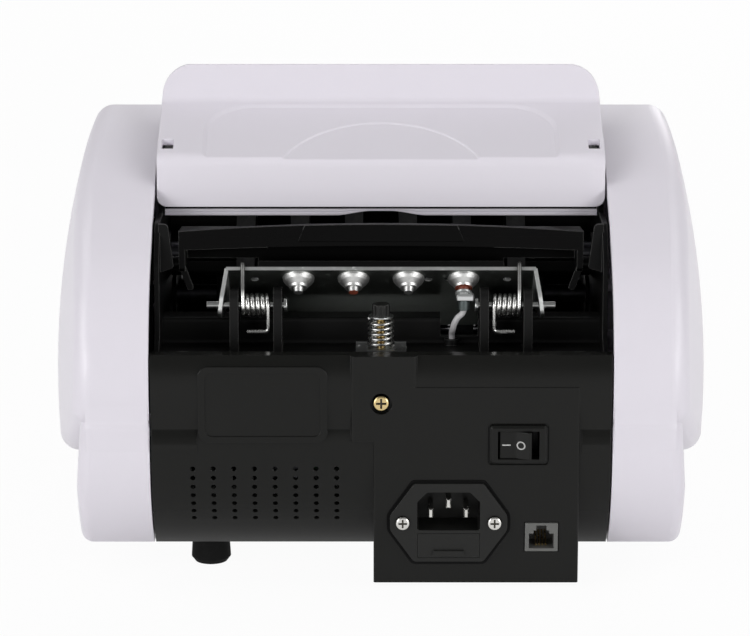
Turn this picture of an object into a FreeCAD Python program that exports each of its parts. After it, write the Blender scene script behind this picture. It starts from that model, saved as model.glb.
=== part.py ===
import FreeCAD, Part
import math
import os

V = FreeCAD.Vector
CENTRE = V(0, 0, 0)

# Banknote counting machine. Millimetres, +Z up, the feet stand on z = 0.
# The rear, with the power inlet, faces -Y. The operator stands at +Y.

# Side covers: an upper lobe and a skirt, both round in side view
cover_gap_half = 91.0
cover_apex_x = 134.5
cover_wall = 3.2
cover_bottom_z = 12.0
dome_radius = 352.0
dome_centre_y = -20.0
dome_centre_z = 66.0
rim_radius = 8.0
outline_corner_radius = 7.0
rear_y = -120.0
lobe_radius = 64.0
lobe_centre_z = 79.0
lobe_low_angle = 190.0
shoulder_angle = 128.0
crown_radius = 243.0
crown_y = -11.0
crown_round = 20.0
skirt_set_in = 0.8
skirt_radius = 55.5
skirt_centre_z = 55.0
skirt_top_z = 69.0
skirt_half = 120.5
skirt_taper_deg = 4.3
skirt_edge_radius = 5.0
brow_y = 38.0
brow_z = 158.0
brow_round = 25.0
front_y = 124.2
arm_y = 80.0
arm_z = 98.0
arm_round = 30.0
nose_y = 117.0
nose_z = 72.0
nose_round = 22.0
belly_y = -5.0
belly_z = 31.0
cover_boss_radius = 4.5
cover_boss_hole = 1.6
cover_boss_depth = 14.0
cover_boss_places = [(-96.0, 60.0), (-20.0, 142.0), (88.0, 48.0)]

# Base, feet and side frames
frame_inner = 88.0
frame_sheet = 2.0
frame_bottom_z = 14.0
base_sheet = 2.0
base_rear_y = -94.0
base_front_y = 116.0
base_flange = 8.0
foot_radius = 8.0
foot_x = 69.0
foot_rear_y = -85.0
foot_front_y = 98.0
lug_reach = 5.4
lug_top_z = 139.5
lug_bottom_z = 119.7
lug_sheet = 1.5
lug_slant = 2.2

# Rear cover with its power box
rear_cover_gap = 0.6
rear_wall = 2.5
rear_top_z = 94.5
rear_depth_y = -97.0
box_left = -3.0
box_right = 78.0
box_bottom_z = 2.0
box_top_z = 82.0
box_face_y = -120.4
box_corner = 1.0
seat_sunk = 0.8
seat_gap = 0.6
post_left = -12.0
post_right = 14.0
post_bottom_z = 60.0
plate_left = -71.6
plate_right = -21.2
plate_bottom_z = 59.7
plate_top_z = 90.3
plate_proud = 0.5
plate_corner = 4.0
plate_border = 2.4
plate_recess = 0.6
vent_columns = 8
vent_rows = 7
vent_left_x = -74.2
vent_pitch_x = 8.1
vent_pitch = 4.0
vent_radius = 1.1
vent_sides = 8
vent_first_z = 48.5
cover_screw_z = 75.4
cover_screw_head = 3.4
cover_screw_head_depth = 2.6
cover_screw_well = 4.25
cover_screw_shank = 2.0
cover_screw_length = 15.0

# Hopper
hopper_half = 90.2
hopper_wall = 2.4
lip_y = -64.0
lip_bottom_z = 142.2
lip_top_z = 162.5
lip_round = 6.0
crease_y = -25.0
crease_z = 178.5
crease_round = 3.0
flap_top_y = -23.0
flap_top_z = 193.5
flap_top_half = 88.6
flap_corner = 13.0
lip_corner = 4.0
arch_chord = 82.0
arch_rise = 28.0
arch_depth = 1.2
panel_half = 72.0
panel_length_up = 39.5
panel_round = 19.0
panel_depth = 0.7
shelf_slope = 1.6
notch_inner = 83.8
notch_outer = 88.4
notch_rear_y = -58.0
notch_front_y = -51.5
hinge_y = -50.0
hinge_z = 154.0
hinge_radius = 2.0
hinge_ear = 3.0
hinge_ear_x = 80.0
hinge_ear_radius = 4.5
gate_y = -52.0
gate_bottom_z = 137.5
gate_top_z = 146.5
gate_arch_half = 19.0
gate_arch_rise = 3.2
tray_rear_y = -26.0
tray_rear_z = 138.2
tray_front_y = 31.0
tray_front_z = 156.0
guide_x = 78.0
guide_travel = 22.0
guide_thick = 3.0
guide_height = 24.0
guide_front_height = 14.4
guide_length = 36.0
guide_stem = 5.0

# Feed wheels, friction bracket and its springs
feed_y = -38.0
feed_z = 118.0
feed_radius = 21.0
wheel_pitch = 22.0
wheel_width = 7.4
wheel_count = 6
shaft_radius = 4.0
bracket_edge_y = -85.4
bracket_edge_z = 121.0
bracket_tilt = 40.0
bracket_half = 61.7
bracket_sheet = 1.5
bracket_back_length = 22.0
bracket_length = 50.0
bracket_front_half = 46.0
bracket_screw_row = 7.0
ear_flare = 9.6
pad_width = 12.0
pad_strip = 2.0
pad_start = 29.0
pad_end = 47.5
cup_radius = 6.4
cup_height = 4.6
cup_foot_radius = 3.4
cup_shoulder_radius = 5.5
cup_shoulder = 2.0
cup_tip_radius = 2.1
cup_tip_height = 6.5
pivot_y = -85.0
pivot_z = 106.6
pivot_radius = 1.4
pivot_inner_x = 37.4
pivot_outer_x = 69.6
pivot_head_radius = 2.9
pivot_head = 1.4
lug_inner_x = 39.4
lug_outer_x = 56.8
lug_thick = 3.5
lug_radius = 7.0
coil_inner_x = 45.0
coil_outer_x = 55.1
coil_mean_radius = 3.9
coil_wire = 1.5
coil_turns = 5
hook_lean = 7.0
hook_bend = 1.5
hook_tail = 7.0
leg_foot_z = 96.6
leg_bend = 2.0
leg_end_x = 53.4
running_fit = 0.05
clearance = 0.3

# Guide bar behind the feed wheels
bar_half = 80.6
bar_rear_y = -83.0
bar_bottom_z = 128.5
bar_top_z = 136.2
bar_wall = 2.2
bar_front_y = -62.6
bar_front_z = 133.6
bar_guide_gap = 7.0
bar_guide_bottom_z = 122.0
bar_hump_half = 29.0
bar_hump = 3.0
bar_hump_proud = 0.5
bar_arch = 1.8
bar_lip_half = 49.5
bar_lip_bottom_z = 119.4
bar_pivot_y = -79.0
bar_pivot_z = 122.6
bar_pivot_radius = 2.5
bar_end = 2.5
bar_pin_end = 89.8
bar_tab_top_x = 78.4
bar_tab_foot_x = 74.6
bar_tab_wide = 2.8
bar_tab_bottom_z = 112.0

# Mechanism floor and adjuster
floor_top_z = 89.0
floor_wall = 2.5
floor_rear_y = -115.6
step_y = -75.0
ledge_z = 99.5
ledge_front_y = -67.0
lead_hole_left = 24.0
lead_hole_right = 39.0
lead_hole_bottom_z = 92.0
stop_x = 76.0
stop_size = 4.0
stop_set_in = 5.6
adjuster_y = -88.0
knob_radius = 3.6
knob_bottom_z = 103.1
knob_top_z = 107.9
knob_flutes = 8
washer_radius = 5.0
washer_thick = 0.6
screw_radius = 1.6
screw_bottom_z = 80.0
screw_play = 1.8
knob_cap = 1.2
spring_mean_radius = 4.7
spring_wire = 1.1
spring_turns = 5.5
seat_half = 10.0
seat_sheet = 1.0
seat_depth = 10.0
seat_tab = 4.6
seat_tab_height = 4.4

# Ground lead
lead_x = 33.0
lead_radius = 1.2
terminal_sheet = 0.8
terminal_radius = 3.4
crimp_radius = 2.4
crimp_length = 4.0
crimp_y = -86.4
grommet_x = 28.5
grommet_y = -79.0
grommet_radius = 3.0
grommet_height = 2.4
grommet_depth = 1.6

# Mains inlet with fuse drawer
inlet_x = 26.6
inlet_z = 27.5
inlet_half = 23.1
inlet_half_height = 16.0
inlet_flat_half = 13.7
inlet_flange = 2.4
inlet_screw_half = 18.1
inlet_screw_radius = 2.8
inlet_shank_radius = 1.2
inlet_shank = 8.0
inlet_body_half = 13.8
inlet_body_depth = 24.0
socket_half = 12.4
socket_bottom_z = 24.4
socket_top_z = 40.0
socket_chamfer = 4.0
socket_depth = 17.0
pin_pitch = 14.0
pin_earth_lift = 4.0
pin_wide = 4.0
pin_thick = 2.0
pin_length = 14.0
pin_row_z = 30.4
drawer_half = 12.2
drawer_bottom_z = 13.2
drawer_top_z = 23.0
drawer_depth = 20.0
drawer_front = 1.2
drawer_wall = 1.4

# Rocker switch
switch_x = 53.9
switch_z = 59.0
switch_half = 11.3
switch_half_height = 7.8
switch_bezel = 1.8
switch_body_half = 9.8
switch_body_half_height = 6.6
switch_depth = 14.0
bezel_chamfer = 0.9
rocker_half = 6.6
rocker_half_height = 5.4
rocker_tilt = 12.0
rocker_proud = 0.8
rocker_axle_depth = 6.0
rocker_valley = 0.7
rocker_pin = 1.0
rocker_pin_end = 0.8
rocker_back = 4.2

# Modular jack
jack_x = 63.3
jack_z = 21.0
jack_half = 6.5
jack_half_height = 5.8
jack_depth = 14.0
jack_proud = 0.6
jack_mouth_half = 4.9
jack_mouth_height = 6.1
jack_rim = 1.0
jack_latch_height = 2.0
jack_step_height = 1.3
jack_step_half = 3.1
jack_latch_half = 2.0
jack_contacts = 4
contact_pitch = 1.3

# Front: panel, window, keys and stacker
panel_wall = 3.0
panel_offset = 4.0
ceiling_run = 13.0
ceiling_drop = 4.0
window_half = 34.0
window_top = 9.0
window_height = 26.0
window_sheet = 2.0
window_corner = 3.5
key_count = 3
key_first_x = -36.0
key_pitch_x = 36.0
key_row_u = 50.0
key_half = 9.0
key_half_height = 4.2
key_proud = 1.8
key_travel = 1.2
key_stem = 2.0
stacker_y = 38.0
stacker_z = 62.0
stacker_radius = 32.0
stacker_wheel_x = 36.0
stacker_wheel_width = 8.0
stacker_blades = 9
blade_thick = 1.4
blade_curve = 19.0
stacker_hub = 9.0
pocket_y = 57.0
pocket_floor_z = 27.0
pocket_front_y = 109.0
pocket_lip_z = 48.0
pocket_top_z = 84.0
pocket_wall = 2.4

# Drive
count_y = -5.0
count_z = 92.0
count_radius = 12.0
count_sleeve = 18.0
count_sleeve_x = [-60.0, -22.0, 22.0, 60.0]
motor_y = -55.0
motor_z = 42.0
motor_radius = 18.0
motor_length = 56.0
motor_shaft = 2.0
bush_radius = 6.0
bush_flange_radius = 8.0
bush_flange = 1.5
pulley_gap = 3.0
belt_width = 5.0
belt_thick = 1.5
pulley_flange = 1.0
pulley_rim = 1.8
motor_pulley_radius = 8.0
feed_pulley_radius = 12.0
stacker_pulley_radius = 15.0
count_pulley_radius = 9.0
feed_second_radius = 10.0

# Note guide over the count roller
chute_wall = 2.0
chute_end_y = 42.0
chute_end_z = 98.0
chute_bend_y = 14.0
chute_bend_z = 106.5
chute_crest_y = -4.0
chute_crest_z = 107.5
chute_rear_y = -15.5
chute_low_z = 100.2
chute_top_z = 138.2

# Boards inside
board_half = 76.0
board_rear_y = -30.0
board_front_y = 26.0
board_sheet = 1.6
standoff = 5.0
standoff_radius = 3.0
transformer_x = 44.0
transformer_y = -72.0
transformer_half = 24.0
transformer_depth = 34.0
transformer_height = 40.0

frame_outer = frame_inner + frame_sheet
base_top_z = cover_bottom_z + base_sheet
lobe_centre = (rear_y + lobe_radius, lobe_centre_z)
skirt_centre = (rear_y + skirt_set_in + skirt_radius, skirt_centre_z)


# Points, edges and faces

def polar(centre, radius, degrees):
    turn = math.radians(degrees)
    return (centre[0] + radius * math.cos(turn), centre[1] + radius * math.sin(turn))


def side_point(x, pair):
    return V(x, pair[0], pair[1])


def arc_edge(first, middle, last):
    return Part.Arc(first, middle, last).toShape()


def round_arc(x, centre, radius, start, end):
    """Arc in a plane of constant x, from one angle to another."""
    ends = [polar(centre, radius, angle) for angle in (start, (start + end) / 2, end)]
    return arc_edge(*[side_point(x, pair) for pair in ends])


def rounded_edges(points, closed=False):
    """Lines through points, with a tangent arc at each point that has a radius."""
    count = len(points)
    joints = []
    for index, (point, radius) in enumerate(points):
        ends_here = not closed and index in (0, count - 1)
        if ends_here or radius == 0:
            joints.append([point])
            continue
        back = (points[index - 1][0] - point).normalize()
        ahead = (points[(index + 1) % count][0] - point).normalize()
        half = back.getAngle(ahead) / 2
        reach = radius / math.tan(half)
        inward = (back + ahead).normalize()
        middle = point + inward * (radius / math.sin(half) - radius)
        joints.append([point + back * reach, middle, point + ahead * reach])
    edges = []
    for index, joint in enumerate(joints):
        if len(joint) == 3:
            edges.append(arc_edge(*joint))
        if index + 1 < count or closed:
            following = joints[(index + 1) % count][0]
            if joint[-1].distanceToPoint(following) > 1e-6:
                edges.append(Part.LineSegment(joint[-1], following).toShape())
    return edges


def face_from(edges):
    return Part.Face(Part.Wire(edges))


def side_face(x, corners):
    """Face at a given x from (y, z, radius) corners."""
    points = [(V(x, y, z), radius) for y, z, radius in corners]
    return face_from(rounded_edges(points, True))


def rear_face(y, corners):
    """Face at a given y from (x, z, radius) corners."""
    points = [(V(x, y, z), radius) for x, z, radius in corners]
    return face_from(rounded_edges(points, True))


def side_strip(x, corners, wall):
    """Face of a thin wall that follows an open line, to its right-hand side."""
    points = [(V(x, y, z), radius) for y, z, radius in corners]
    return Part.Wire(rounded_edges(points)).makeOffset2D(wall, 0, True, True)


def along_x(face, length):
    return face.extrude(V(length, 0, 0))


def along_y(face, length):
    return face.extrude(V(0, length, 0))


def span_box(x, y, z):
    """Box from a pair of limits on each axis."""
    return Part.makeBox(x[1] - x[0], y[1] - y[0], z[1] - z[0], V(x[0], y[0], z[0]))


def rod_x(radius, start, end, y, z):
    return Part.makeCylinder(radius, end - start, V(start, y, z), V(1, 0, 0))


def rod_y(radius, start, end, x, z):
    return Part.makeCylinder(radius, end - start, V(x, start, z), V(0, 1, 0))


def rod_z(radius, start, end, x, y):
    return Part.makeCylinder(radius, end - start, V(x, y, start), V(0, 0, 1))


def join(shapes):
    first = shapes[0]
    if len(shapes) == 1:
        return first
    return first.multiFuse(shapes[1:]).removeSplitter()


def group(shapes):
    return Part.makeCompound(shapes)


def mirrored(shape):
    return shape.mirror(CENTRE, V(1, 0, 0))


def tilted(shape, y, z, degrees):
    """Lay a shape drawn on a flat sheet onto a slope that falls towards +Y."""
    placed = shape.copy()
    placed.rotate(CENTRE, V(1, 0, 0), -degrees)
    placed.translate(V(0, y, z))
    return placed


def turned_profile(points, axis_y, axis_z):
    """Revolve (radius, x) points about an axis along X."""
    ring = [V(x, axis_y + radius, axis_z) for radius, x in points]
    face = Part.Face(Part.makePolygon(ring + ring[:1]))
    return face.revolve(V(0, axis_y, axis_z), V(1, 0, 0), 360)


def turned_upright(points, axis_x, axis_y):
    """Revolve (radius, z) points about an upright axis."""
    ring = [V(axis_x + radius, axis_y, z) for radius, z in points]
    face = Part.Face(Part.makePolygon(ring + ring[:1]))
    return face.revolve(V(axis_x, axis_y, 0), V(0, 0, 1), 360)


# Wound wire

def tangent_arc(start, corner, end):
    """Arc that leaves start towards corner and arrives at end from it."""
    middle = (start + end) * 0.5
    half_chord = (end - start).Length / 2
    rise = corner - middle
    swing = math.atan2(rise.Length, half_chord)
    return arc_edge(start, middle + rise.normalize() * (half_chord * math.tan(swing / 2)), end)


def biarc(start, heading, end, last_heading):
    """Two tangent arcs between two points with given headings."""
    chord = end - start
    both = heading + last_heading
    spread = 2 * (1 - heading.dot(last_heading))
    along = chord.dot(both)
    reach = (-along + math.sqrt(along * along + spread * chord.dot(chord))) / spread
    first = start + heading * reach
    second = end - last_heading * reach
    joint = (first + second) * 0.5
    return [tangent_arc(start, first, joint), tangent_arc(joint, second, end)]


def helix_edges(place, heading, start, end, spans):
    """Quarter turns of a helix, each as a biarc."""
    edges = []
    step = (end - start) / spans
    for index in range(spans):
        low = start + step * index
        edges += biarc(place(low), heading(low), place(low + step), heading(low + step))
    return edges


def wire_tube(edges, radius):
    path = Part.Wire(edges)
    start = edges[0].valueAt(edges[0].FirstParameter)
    heading = edges[0].tangentAt(edges[0].FirstParameter)
    ring = Part.Wire(Part.makeCircle(radius, start, heading))
    return path.makePipeShell([ring], True, False)


def least_gap(name, edges, wire, skip):
    """Smallest distance between turns, measured on points of the centre line."""
    points = []
    for edge in edges:
        points += edge.discretize(Number=8)[:-1]
    best = min(
        points[i].distanceToPoint(points[j])
        for i in range(len(points))
        for j in range(i + skip, len(points))
    )
    print(name, "least gap to itself", round(best - wire, 2), "mm")


# Side covers

def meeting_point(first, first_radius, second, second_radius):
    """Rear one of the two points where two circles in side view cross."""
    dy = second[0] - first[0]
    dz = second[1] - first[1]
    apart = math.hypot(dy, dz)
    along = (first_radius ** 2 - second_radius ** 2 + apart ** 2) / (2 * apart)
    across = math.sqrt(first_radius ** 2 - along ** 2)
    base = (first[0] + along * dy / apart, first[1] + along * dz / apart)
    sides = [(base[0] + s * across * dz / apart, base[1] - s * across * dy / apart) for s in (1, -1)]
    return min(sides)


def angle_of(centre, pair):
    return math.degrees(math.atan2(pair[1] - centre[1], pair[0] - centre[0])) % 360


def lobe_face(x):
    """Side outline of the upper lobe, from the rear crease over the crown to the nose."""
    shoulder = polar(lobe_centre, lobe_radius, shoulder_angle)
    reach = crown_radius / lobe_radius
    crown_centre = (
        shoulder[0] + (lobe_centre[0] - shoulder[0]) * reach,
        shoulder[1] + (lobe_centre[1] - shoulder[1]) * reach,
    )
    crown_angle = math.degrees(math.acos((crown_y - crown_centre[0]) / crown_radius))
    crown_end = polar(crown_centre, crown_radius, crown_angle)
    climb = 90 - crown_angle
    ahead = V(0, math.cos(math.radians(climb)), -math.sin(math.radians(climb)))
    start = side_point(x, crown_end)
    brow = V(x, brow_y, brow_z)
    fall = start.sub(brow)
    turn = math.radians(-climb) + math.atan2(fall.z, -fall.y)
    corner = start + ahead * (crown_round * math.tan(turn / 2))
    nose = V(x, nose_y, nose_z)
    low = side_point(x, polar(lobe_centre, lobe_radius, lobe_low_angle))
    edges = [
        round_arc(x, lobe_centre, lobe_radius, lobe_low_angle, shoulder_angle),
        round_arc(x, crown_centre, crown_radius, shoulder_angle, crown_angle),
    ]
    path = [(start, 0), (corner, 0), (brow, brow_round), (V(x, arm_y, arm_z), arm_round), (nose, 0)]
    edges += rounded_edges(path)
    edges.append(arc_edge(nose, V(x, belly_y, belly_z), low))
    return face_from(edges)


def skirt_face(x):
    """Side outline of the skirt; its top edge lies inside the upper lobe."""
    top_angle = 180 - math.degrees(math.asin((skirt_top_z - skirt_centre_z) / skirt_radius))
    low_angle = 180 + math.degrees(math.asin((skirt_centre_z - cover_bottom_z) / skirt_radius))
    top = side_point(x, polar(skirt_centre, skirt_radius, top_angle))
    low = side_point(x, polar(skirt_centre, skirt_radius, low_angle))
    path = [
        (low, 0),
        (V(x, front_y, cover_bottom_z), skirt_edge_radius),
        (V(x, front_y, nose_z - 4), nose_round),
        (V(x, arm_y, nose_z), 0),
        (V(x, belly_y, lobe_centre_z), 0),
        (top, 0),
    ]
    return face_from([round_arc(x, skirt_centre, skirt_radius, top_angle, low_angle)] + rounded_edges(path))


def dome(radius):
    return Part.makeSphere(radius, V(cover_apex_x - dome_radius, dome_centre_y, dome_centre_z))


def rim_edges(shape, radius):
    """Edges that lie on the dome."""
    centre = V(cover_apex_x - dome_radius, dome_centre_y, dome_centre_z)
    found = []
    for edge in shape.Edges:
        points = edge.discretize(Number=5)
        if all(abs(point.distanceToPoint(centre) - radius) < 1e-3 for point in points):
            found.append(edge)
    return found


def lobe_solid(inset, start):
    """Upper lobe between the rim plane and the dome. The outside has rounded edges, the inside plain ones."""
    face = lobe_face(start)
    if inset > 0:
        face = face.makeOffset2D(-inset)
    prism = along_x(face, cover_apex_x)
    if inset > 0:
        return prism.common(dome(dome_radius - inset))
    corners = [edge for edge in prism.Edges if is_outline_corner(edge)]
    domed = prism.makeFillet(outline_corner_radius, corners).common(dome(dome_radius))
    return domed.makeFillet(rim_radius, rim_edges(domed, dome_radius))


def is_outline_corner(edge):
    """Long edges along X where the lobe's outline turns sharply, at its nose and rear crease."""
    if abs(edge.tangentAt(edge.FirstParameter).x) < 0.999:
        return False
    middle = edge.valueAt(edge.FirstParameter)
    low = polar(lobe_centre, lobe_radius, lobe_low_angle)
    near_rear = math.hypot(middle.y - low[0], middle.z - low[1]) < 1.5 * outline_corner_radius
    near_nose = math.hypot(middle.y - nose_y, middle.z - nose_z) < 1.5 * outline_corner_radius
    return near_rear or near_nose


def skirt_solid(inset, start):
    face = skirt_face(start)
    if inset > 0:
        face = face.makeOffset2D(-inset)
    prism = along_x(face, skirt_half - inset - start)
    slice_box = span_box((0, skirt_half), (-2 * front_y, 2 * front_y), (-front_y, front_y))
    slice_box.rotate(CENTRE, V(0, 1, 0), -skirt_taper_deg)
    slice_box.translate(V(skirt_half - inset, 0, lobe_centre_z / 2))
    tapered = prism.cut(slice_box)
    if inset > 0:
        return tapered
    outer = [edge for edge in tapered.Edges if edge.BoundBox.XMin > start + 1]
    low = [edge for edge in outer if edge.BoundBox.ZMin < skirt_centre_z - 1]
    return tapered.makeFillet(skirt_edge_radius, low)


def side_cover():
    shell = lobe_solid(0, cover_gap_half).fuse(skirt_solid(0, cover_gap_half))
    hollow = lobe_solid(cover_wall, cover_gap_half - 1).fuse(skirt_solid(cover_wall, cover_gap_half - 1))
    cover = shell.cut(hollow)
    for y, z in cover_boss_places:
        boss = rod_x(cover_boss_radius, frame_outer, cover_apex_x, y, z).common(shell)
        neck = rod_x(cover_boss_radius, frame_outer, cover_gap_half + 1, y, z)
        hole = rod_x(cover_boss_hole, frame_outer, frame_outer + cover_boss_depth, y, z)
        cover = cover.fuse(boss.fuse(neck).cut(hole))
    return cover.removeSplitter()


# Base and frames

def base_plate():
    half = frame_inner
    pan = span_box((-half, half), (base_rear_y, base_front_y), (cover_bottom_z, base_top_z))
    flange_top = base_top_z + base_flange
    flange = span_box((half - base_sheet, half), (base_rear_y, base_front_y), (base_top_z, flange_top))
    pan = join([pan, flange, mirrored(flange)])
    slot = span_box((-40, 40), (-2, 2), (cover_bottom_z - 1, base_top_z + 1))
    for row in range(-2, 3):
        vent = slot.copy()
        vent.translate(V(0, row * 9 - 62, 0))
        pan = pan.cut(vent)
    return pan


def feet():
    crown = foot_radius - 1.5
    profile = [(0, 0), (crown, 0), (foot_radius, 2), (foot_radius - 0.6, cover_bottom_z), (0, cover_bottom_z)]
    places = [(x, y) for x in (-foot_x, foot_x) for y in (foot_rear_y, foot_front_y)]
    return group([turned_upright(profile, x, y) for x, y in places])


def panel_slope():
    return math.degrees(math.atan2(brow_z - arm_z, arm_y - brow_y))


def panel_start():
    slope = math.radians(panel_slope())
    return (brow_y - panel_offset * math.sin(slope), brow_z - panel_offset * math.cos(slope))


def panel_end():
    slope = math.radians(panel_slope())
    return (arm_y - panel_offset * math.sin(slope), arm_z - panel_offset * math.cos(slope))


def bore_list():
    """Holes through a side frame: place and radius."""
    bush = bush_radius
    return [
        (feed_y, feed_z, bush),
        (count_y, count_z, bush),
        (stacker_y, stacker_z, bush),
        (bar_pivot_y, bar_pivot_z, bar_pivot_radius + running_fit),
        (hinge_y, hinge_z, hinge_radius),
    ]


def side_frame(with_motor):
    top = panel_start()
    knee = panel_end()
    ear_half = hinge_ear_radius + 3
    corners = [
        (-96, frame_bottom_z, 0),
        (-111, 40, 12),
        (-111, 84, 8),
        (-93, 96, 6),
        (-92, 126, 8),
        (bar_rear_y + 1, lug_top_z, 3),
        (hinge_y - ear_half - 2, lug_top_z, 4),
        (hinge_y - ear_half, hinge_z + hinge_ear_radius, 5),
        (hinge_y + ear_half, hinge_z + hinge_ear_radius, 5),
        (hinge_y + ear_half + 5, 150, 4),
        (-5, 160, 20),
        (top[0], top[1], 4),
        (knee[0], knee[1], 30),
        (nose_y - 5, nose_z - 4, 12),
        (front_y - 5, nose_z - 24, 10),
        (front_y - 5, frame_bottom_z, 4),
    ]
    sheet = along_x(side_face(frame_inner, corners), frame_sheet)
    for y, z, radius in bore_list():
        sheet = sheet.cut(rod_x(radius, frame_inner - 1, frame_outer + 1, y, z))
    for y, z in cover_boss_places:
        sheet = sheet.cut(rod_x(cover_boss_hole + 0.2, frame_inner - 1, frame_outer + 1, y, z))
    if with_motor:
        sheet = sheet.cut(rod_x(motor_radius / 3, frame_inner - 1, frame_outer + 1, motor_y, motor_z))
    inner = frame_inner - lug_reach
    lug = [
        (inner, lug_bottom_z + 2, 1),
        (frame_inner + 0.5, lug_bottom_z, 0),
        (frame_inner + 0.5, lug_top_z, 0),
        (inner + lug_slant, lug_top_z, 2),
    ]
    flange = along_y(rear_face(bar_rear_y - lug_sheet, lug), lug_sheet)
    return join([sheet, flange])


# Rear cover

def rear_outline(inset, front):
    """Side outline of the rear cover, closed by a straight front."""
    upper = lobe_radius - inset
    lower = skirt_radius - inset
    crease = meeting_point(lobe_centre, upper, skirt_centre, lower)
    top_angle = 180 - math.degrees(math.asin((rear_top_z - lobe_centre_z) / upper))
    low_angle = 180 + math.degrees(math.asin((skirt_centre_z - cover_bottom_z) / lower))
    arcs = [
        round_arc(0, lobe_centre, upper, top_angle, angle_of(lobe_centre, crease)),
        round_arc(0, skirt_centre, lower, angle_of(skirt_centre, crease), low_angle),
    ]
    top = side_point(0, polar(lobe_centre, upper, top_angle))
    low = side_point(0, polar(skirt_centre, lower, low_angle))
    path = [(low, 0), (V(0, front, cover_bottom_z), 0), (V(0, front, rear_top_z), 0), (top, 0)]
    return face_from(arcs + rounded_edges(path))


def rear_slab(inset, front, half):
    slab = along_x(rear_outline(inset, front), 2 * half)
    slab.translate(V(-half, 0, 0))
    return slab


def upright_block(left, right, bottom, top, face_y, front, corner):
    """Block with its two rear upright edges rounded."""
    plan = [
        (V(left, front, bottom), 0),
        (V(left, face_y, bottom), corner),
        (V(right, face_y, bottom), corner),
        (V(right, front, bottom), 0),
    ]
    return face_from(rounded_edges(plan, True)).extrude(V(0, 0, top - bottom))


def label_frame(inset, start, depth):
    corner = plate_corner - inset / 2
    left = plate_left + inset
    right = plate_right - inset
    bottom = plate_bottom_z + inset
    top = plate_top_z - inset
    ring = [(left, bottom, corner), (right, bottom, corner), (right, top, corner), (left, top, corner)]
    return along_y(rear_face(start, ring), depth)


def vent_holes():
    first = 180 + math.degrees(math.asin((skirt_centre_z - vent_first_z) / skirt_radius))
    step = math.degrees(vent_pitch / skirt_radius)
    holes = []
    for row in range(vent_rows):
        angle = first + row * step
        start = polar(skirt_centre, skirt_radius - 2 * rear_wall, angle)
        end = polar(skirt_centre, skirt_radius + rear_wall, angle)
        heading = V(0, end[0] - start[0], end[1] - start[1])
        across = V(0, -heading.z, heading.y).normalize()
        for column in range(vent_columns):
            place = V(vent_left_x + column * vent_pitch_x, start[0], start[1])
            ring = []
            for side in range(vent_sides + 1):
                x, up = polar((0, 0), vent_radius, (side + 0.5) * 360 / vent_sides)
                ring.append(place + V(x, up * across.y, up * across.z))
            holes.append(Part.Face(Part.makePolygon(ring)).extrude(heading))
    return holes


def rear_cover():
    half = cover_gap_half - rear_cover_gap
    inner_front = rear_depth_y + 2 * rear_wall
    label_y = rear_y - plate_proud
    outer = rear_slab(0, rear_depth_y, half)
    box = upright_block(box_left, box_right, box_bottom_z, box_top_z, box_face_y, rear_depth_y, box_corner)
    post = upright_block(post_left, post_right, post_bottom_z, rear_top_z, box_face_y, rear_depth_y, 1.5)
    label = label_frame(0, label_y, rear_depth_y - label_y)
    outer = join([outer, box, post, label])
    wall = rear_wall
    hollow = rear_slab(wall, inner_front, half + 1)
    hollow = hollow.cut(span_box((-half, half), (rear_y, 0), (rear_top_z - wall, rear_top_z + 1)))
    lid_z = (rear_top_z - wall - 1, rear_top_z + 1)
    lid = span_box((-half - 1, half + 1), (rear_y + 3 * wall, inner_front), lid_z)
    box_room = upright_block(
        box_left + wall, box_right - wall, box_bottom_z + wall, box_top_z - wall,
        box_face_y + wall, rear_depth_y - wall, 0,
    )
    box_way = span_box(
        (box_left + wall, box_right - wall),
        (box_face_y + wall + box_corner, inner_front),
        (base_top_z, box_top_z - wall),
    )
    hollow = join([hollow, lid, box_room, box_way])
    boss = rod_y(cover_screw_well + wall, box_face_y + 0.5, box_face_y + 2 * wall, 0, cover_screw_z)
    shell = outer.cut(hollow).fuse(boss)
    well = rod_y(cover_screw_well, box_face_y - 1, box_face_y + cover_screw_head_depth, 0, cover_screw_z)
    bore = rod_y(cover_screw_shank + 0.2, box_face_y, box_face_y + 3 * wall, 0, cover_screw_z)
    recess = label_frame(plate_border, label_y - 1, 1 + plate_recess)
    cuts = [well, bore, recess, inlet_body(clearance), switch_body(clearance), jack_body(clearance)]
    cuts += [inlet_plate(seat_gap, box_face_y - 1, box_face_y + seat_sunk)]
    cuts += [switch_plate(seat_gap, box_face_y - 1, box_face_y + seat_sunk)]
    for screw_x in inlet_screw_places():
        cuts.append(rod_y(inlet_shank_radius, box_face_y - 1, box_face_y + wall + 1, screw_x, inlet_z))
    return shell.cut(group(cuts + vent_holes())).removeSplitter()


def cross_slot(reach, half, start, end, x, z):
    """Cutter for the crossed slots of a screw head that faces the rear."""
    level = span_box((x - reach, x + reach), (start, end), (z - half, z + half))
    upright = span_box((x - half, x + half), (start, end), (z - reach, z + reach))
    return level.fuse(upright)


def rear_cover_screw():
    head_y = box_face_y + cover_screw_head_depth
    head = rod_y(cover_screw_head, head_y - 2.2, head_y, 0, cover_screw_z)
    rim = [edge for edge in head.Edges if edge.BoundBox.YMax < head_y - 2]
    head = head.makeFillet(1.2, rim)
    shank = rod_y(cover_screw_shank, head_y, head_y + cover_screw_length, 0, cover_screw_z)
    return join([head, shank]).cut(cross_slot(2, 0.4, head_y - 3, head_y - 1, 0, cover_screw_z))


# Hopper

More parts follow.
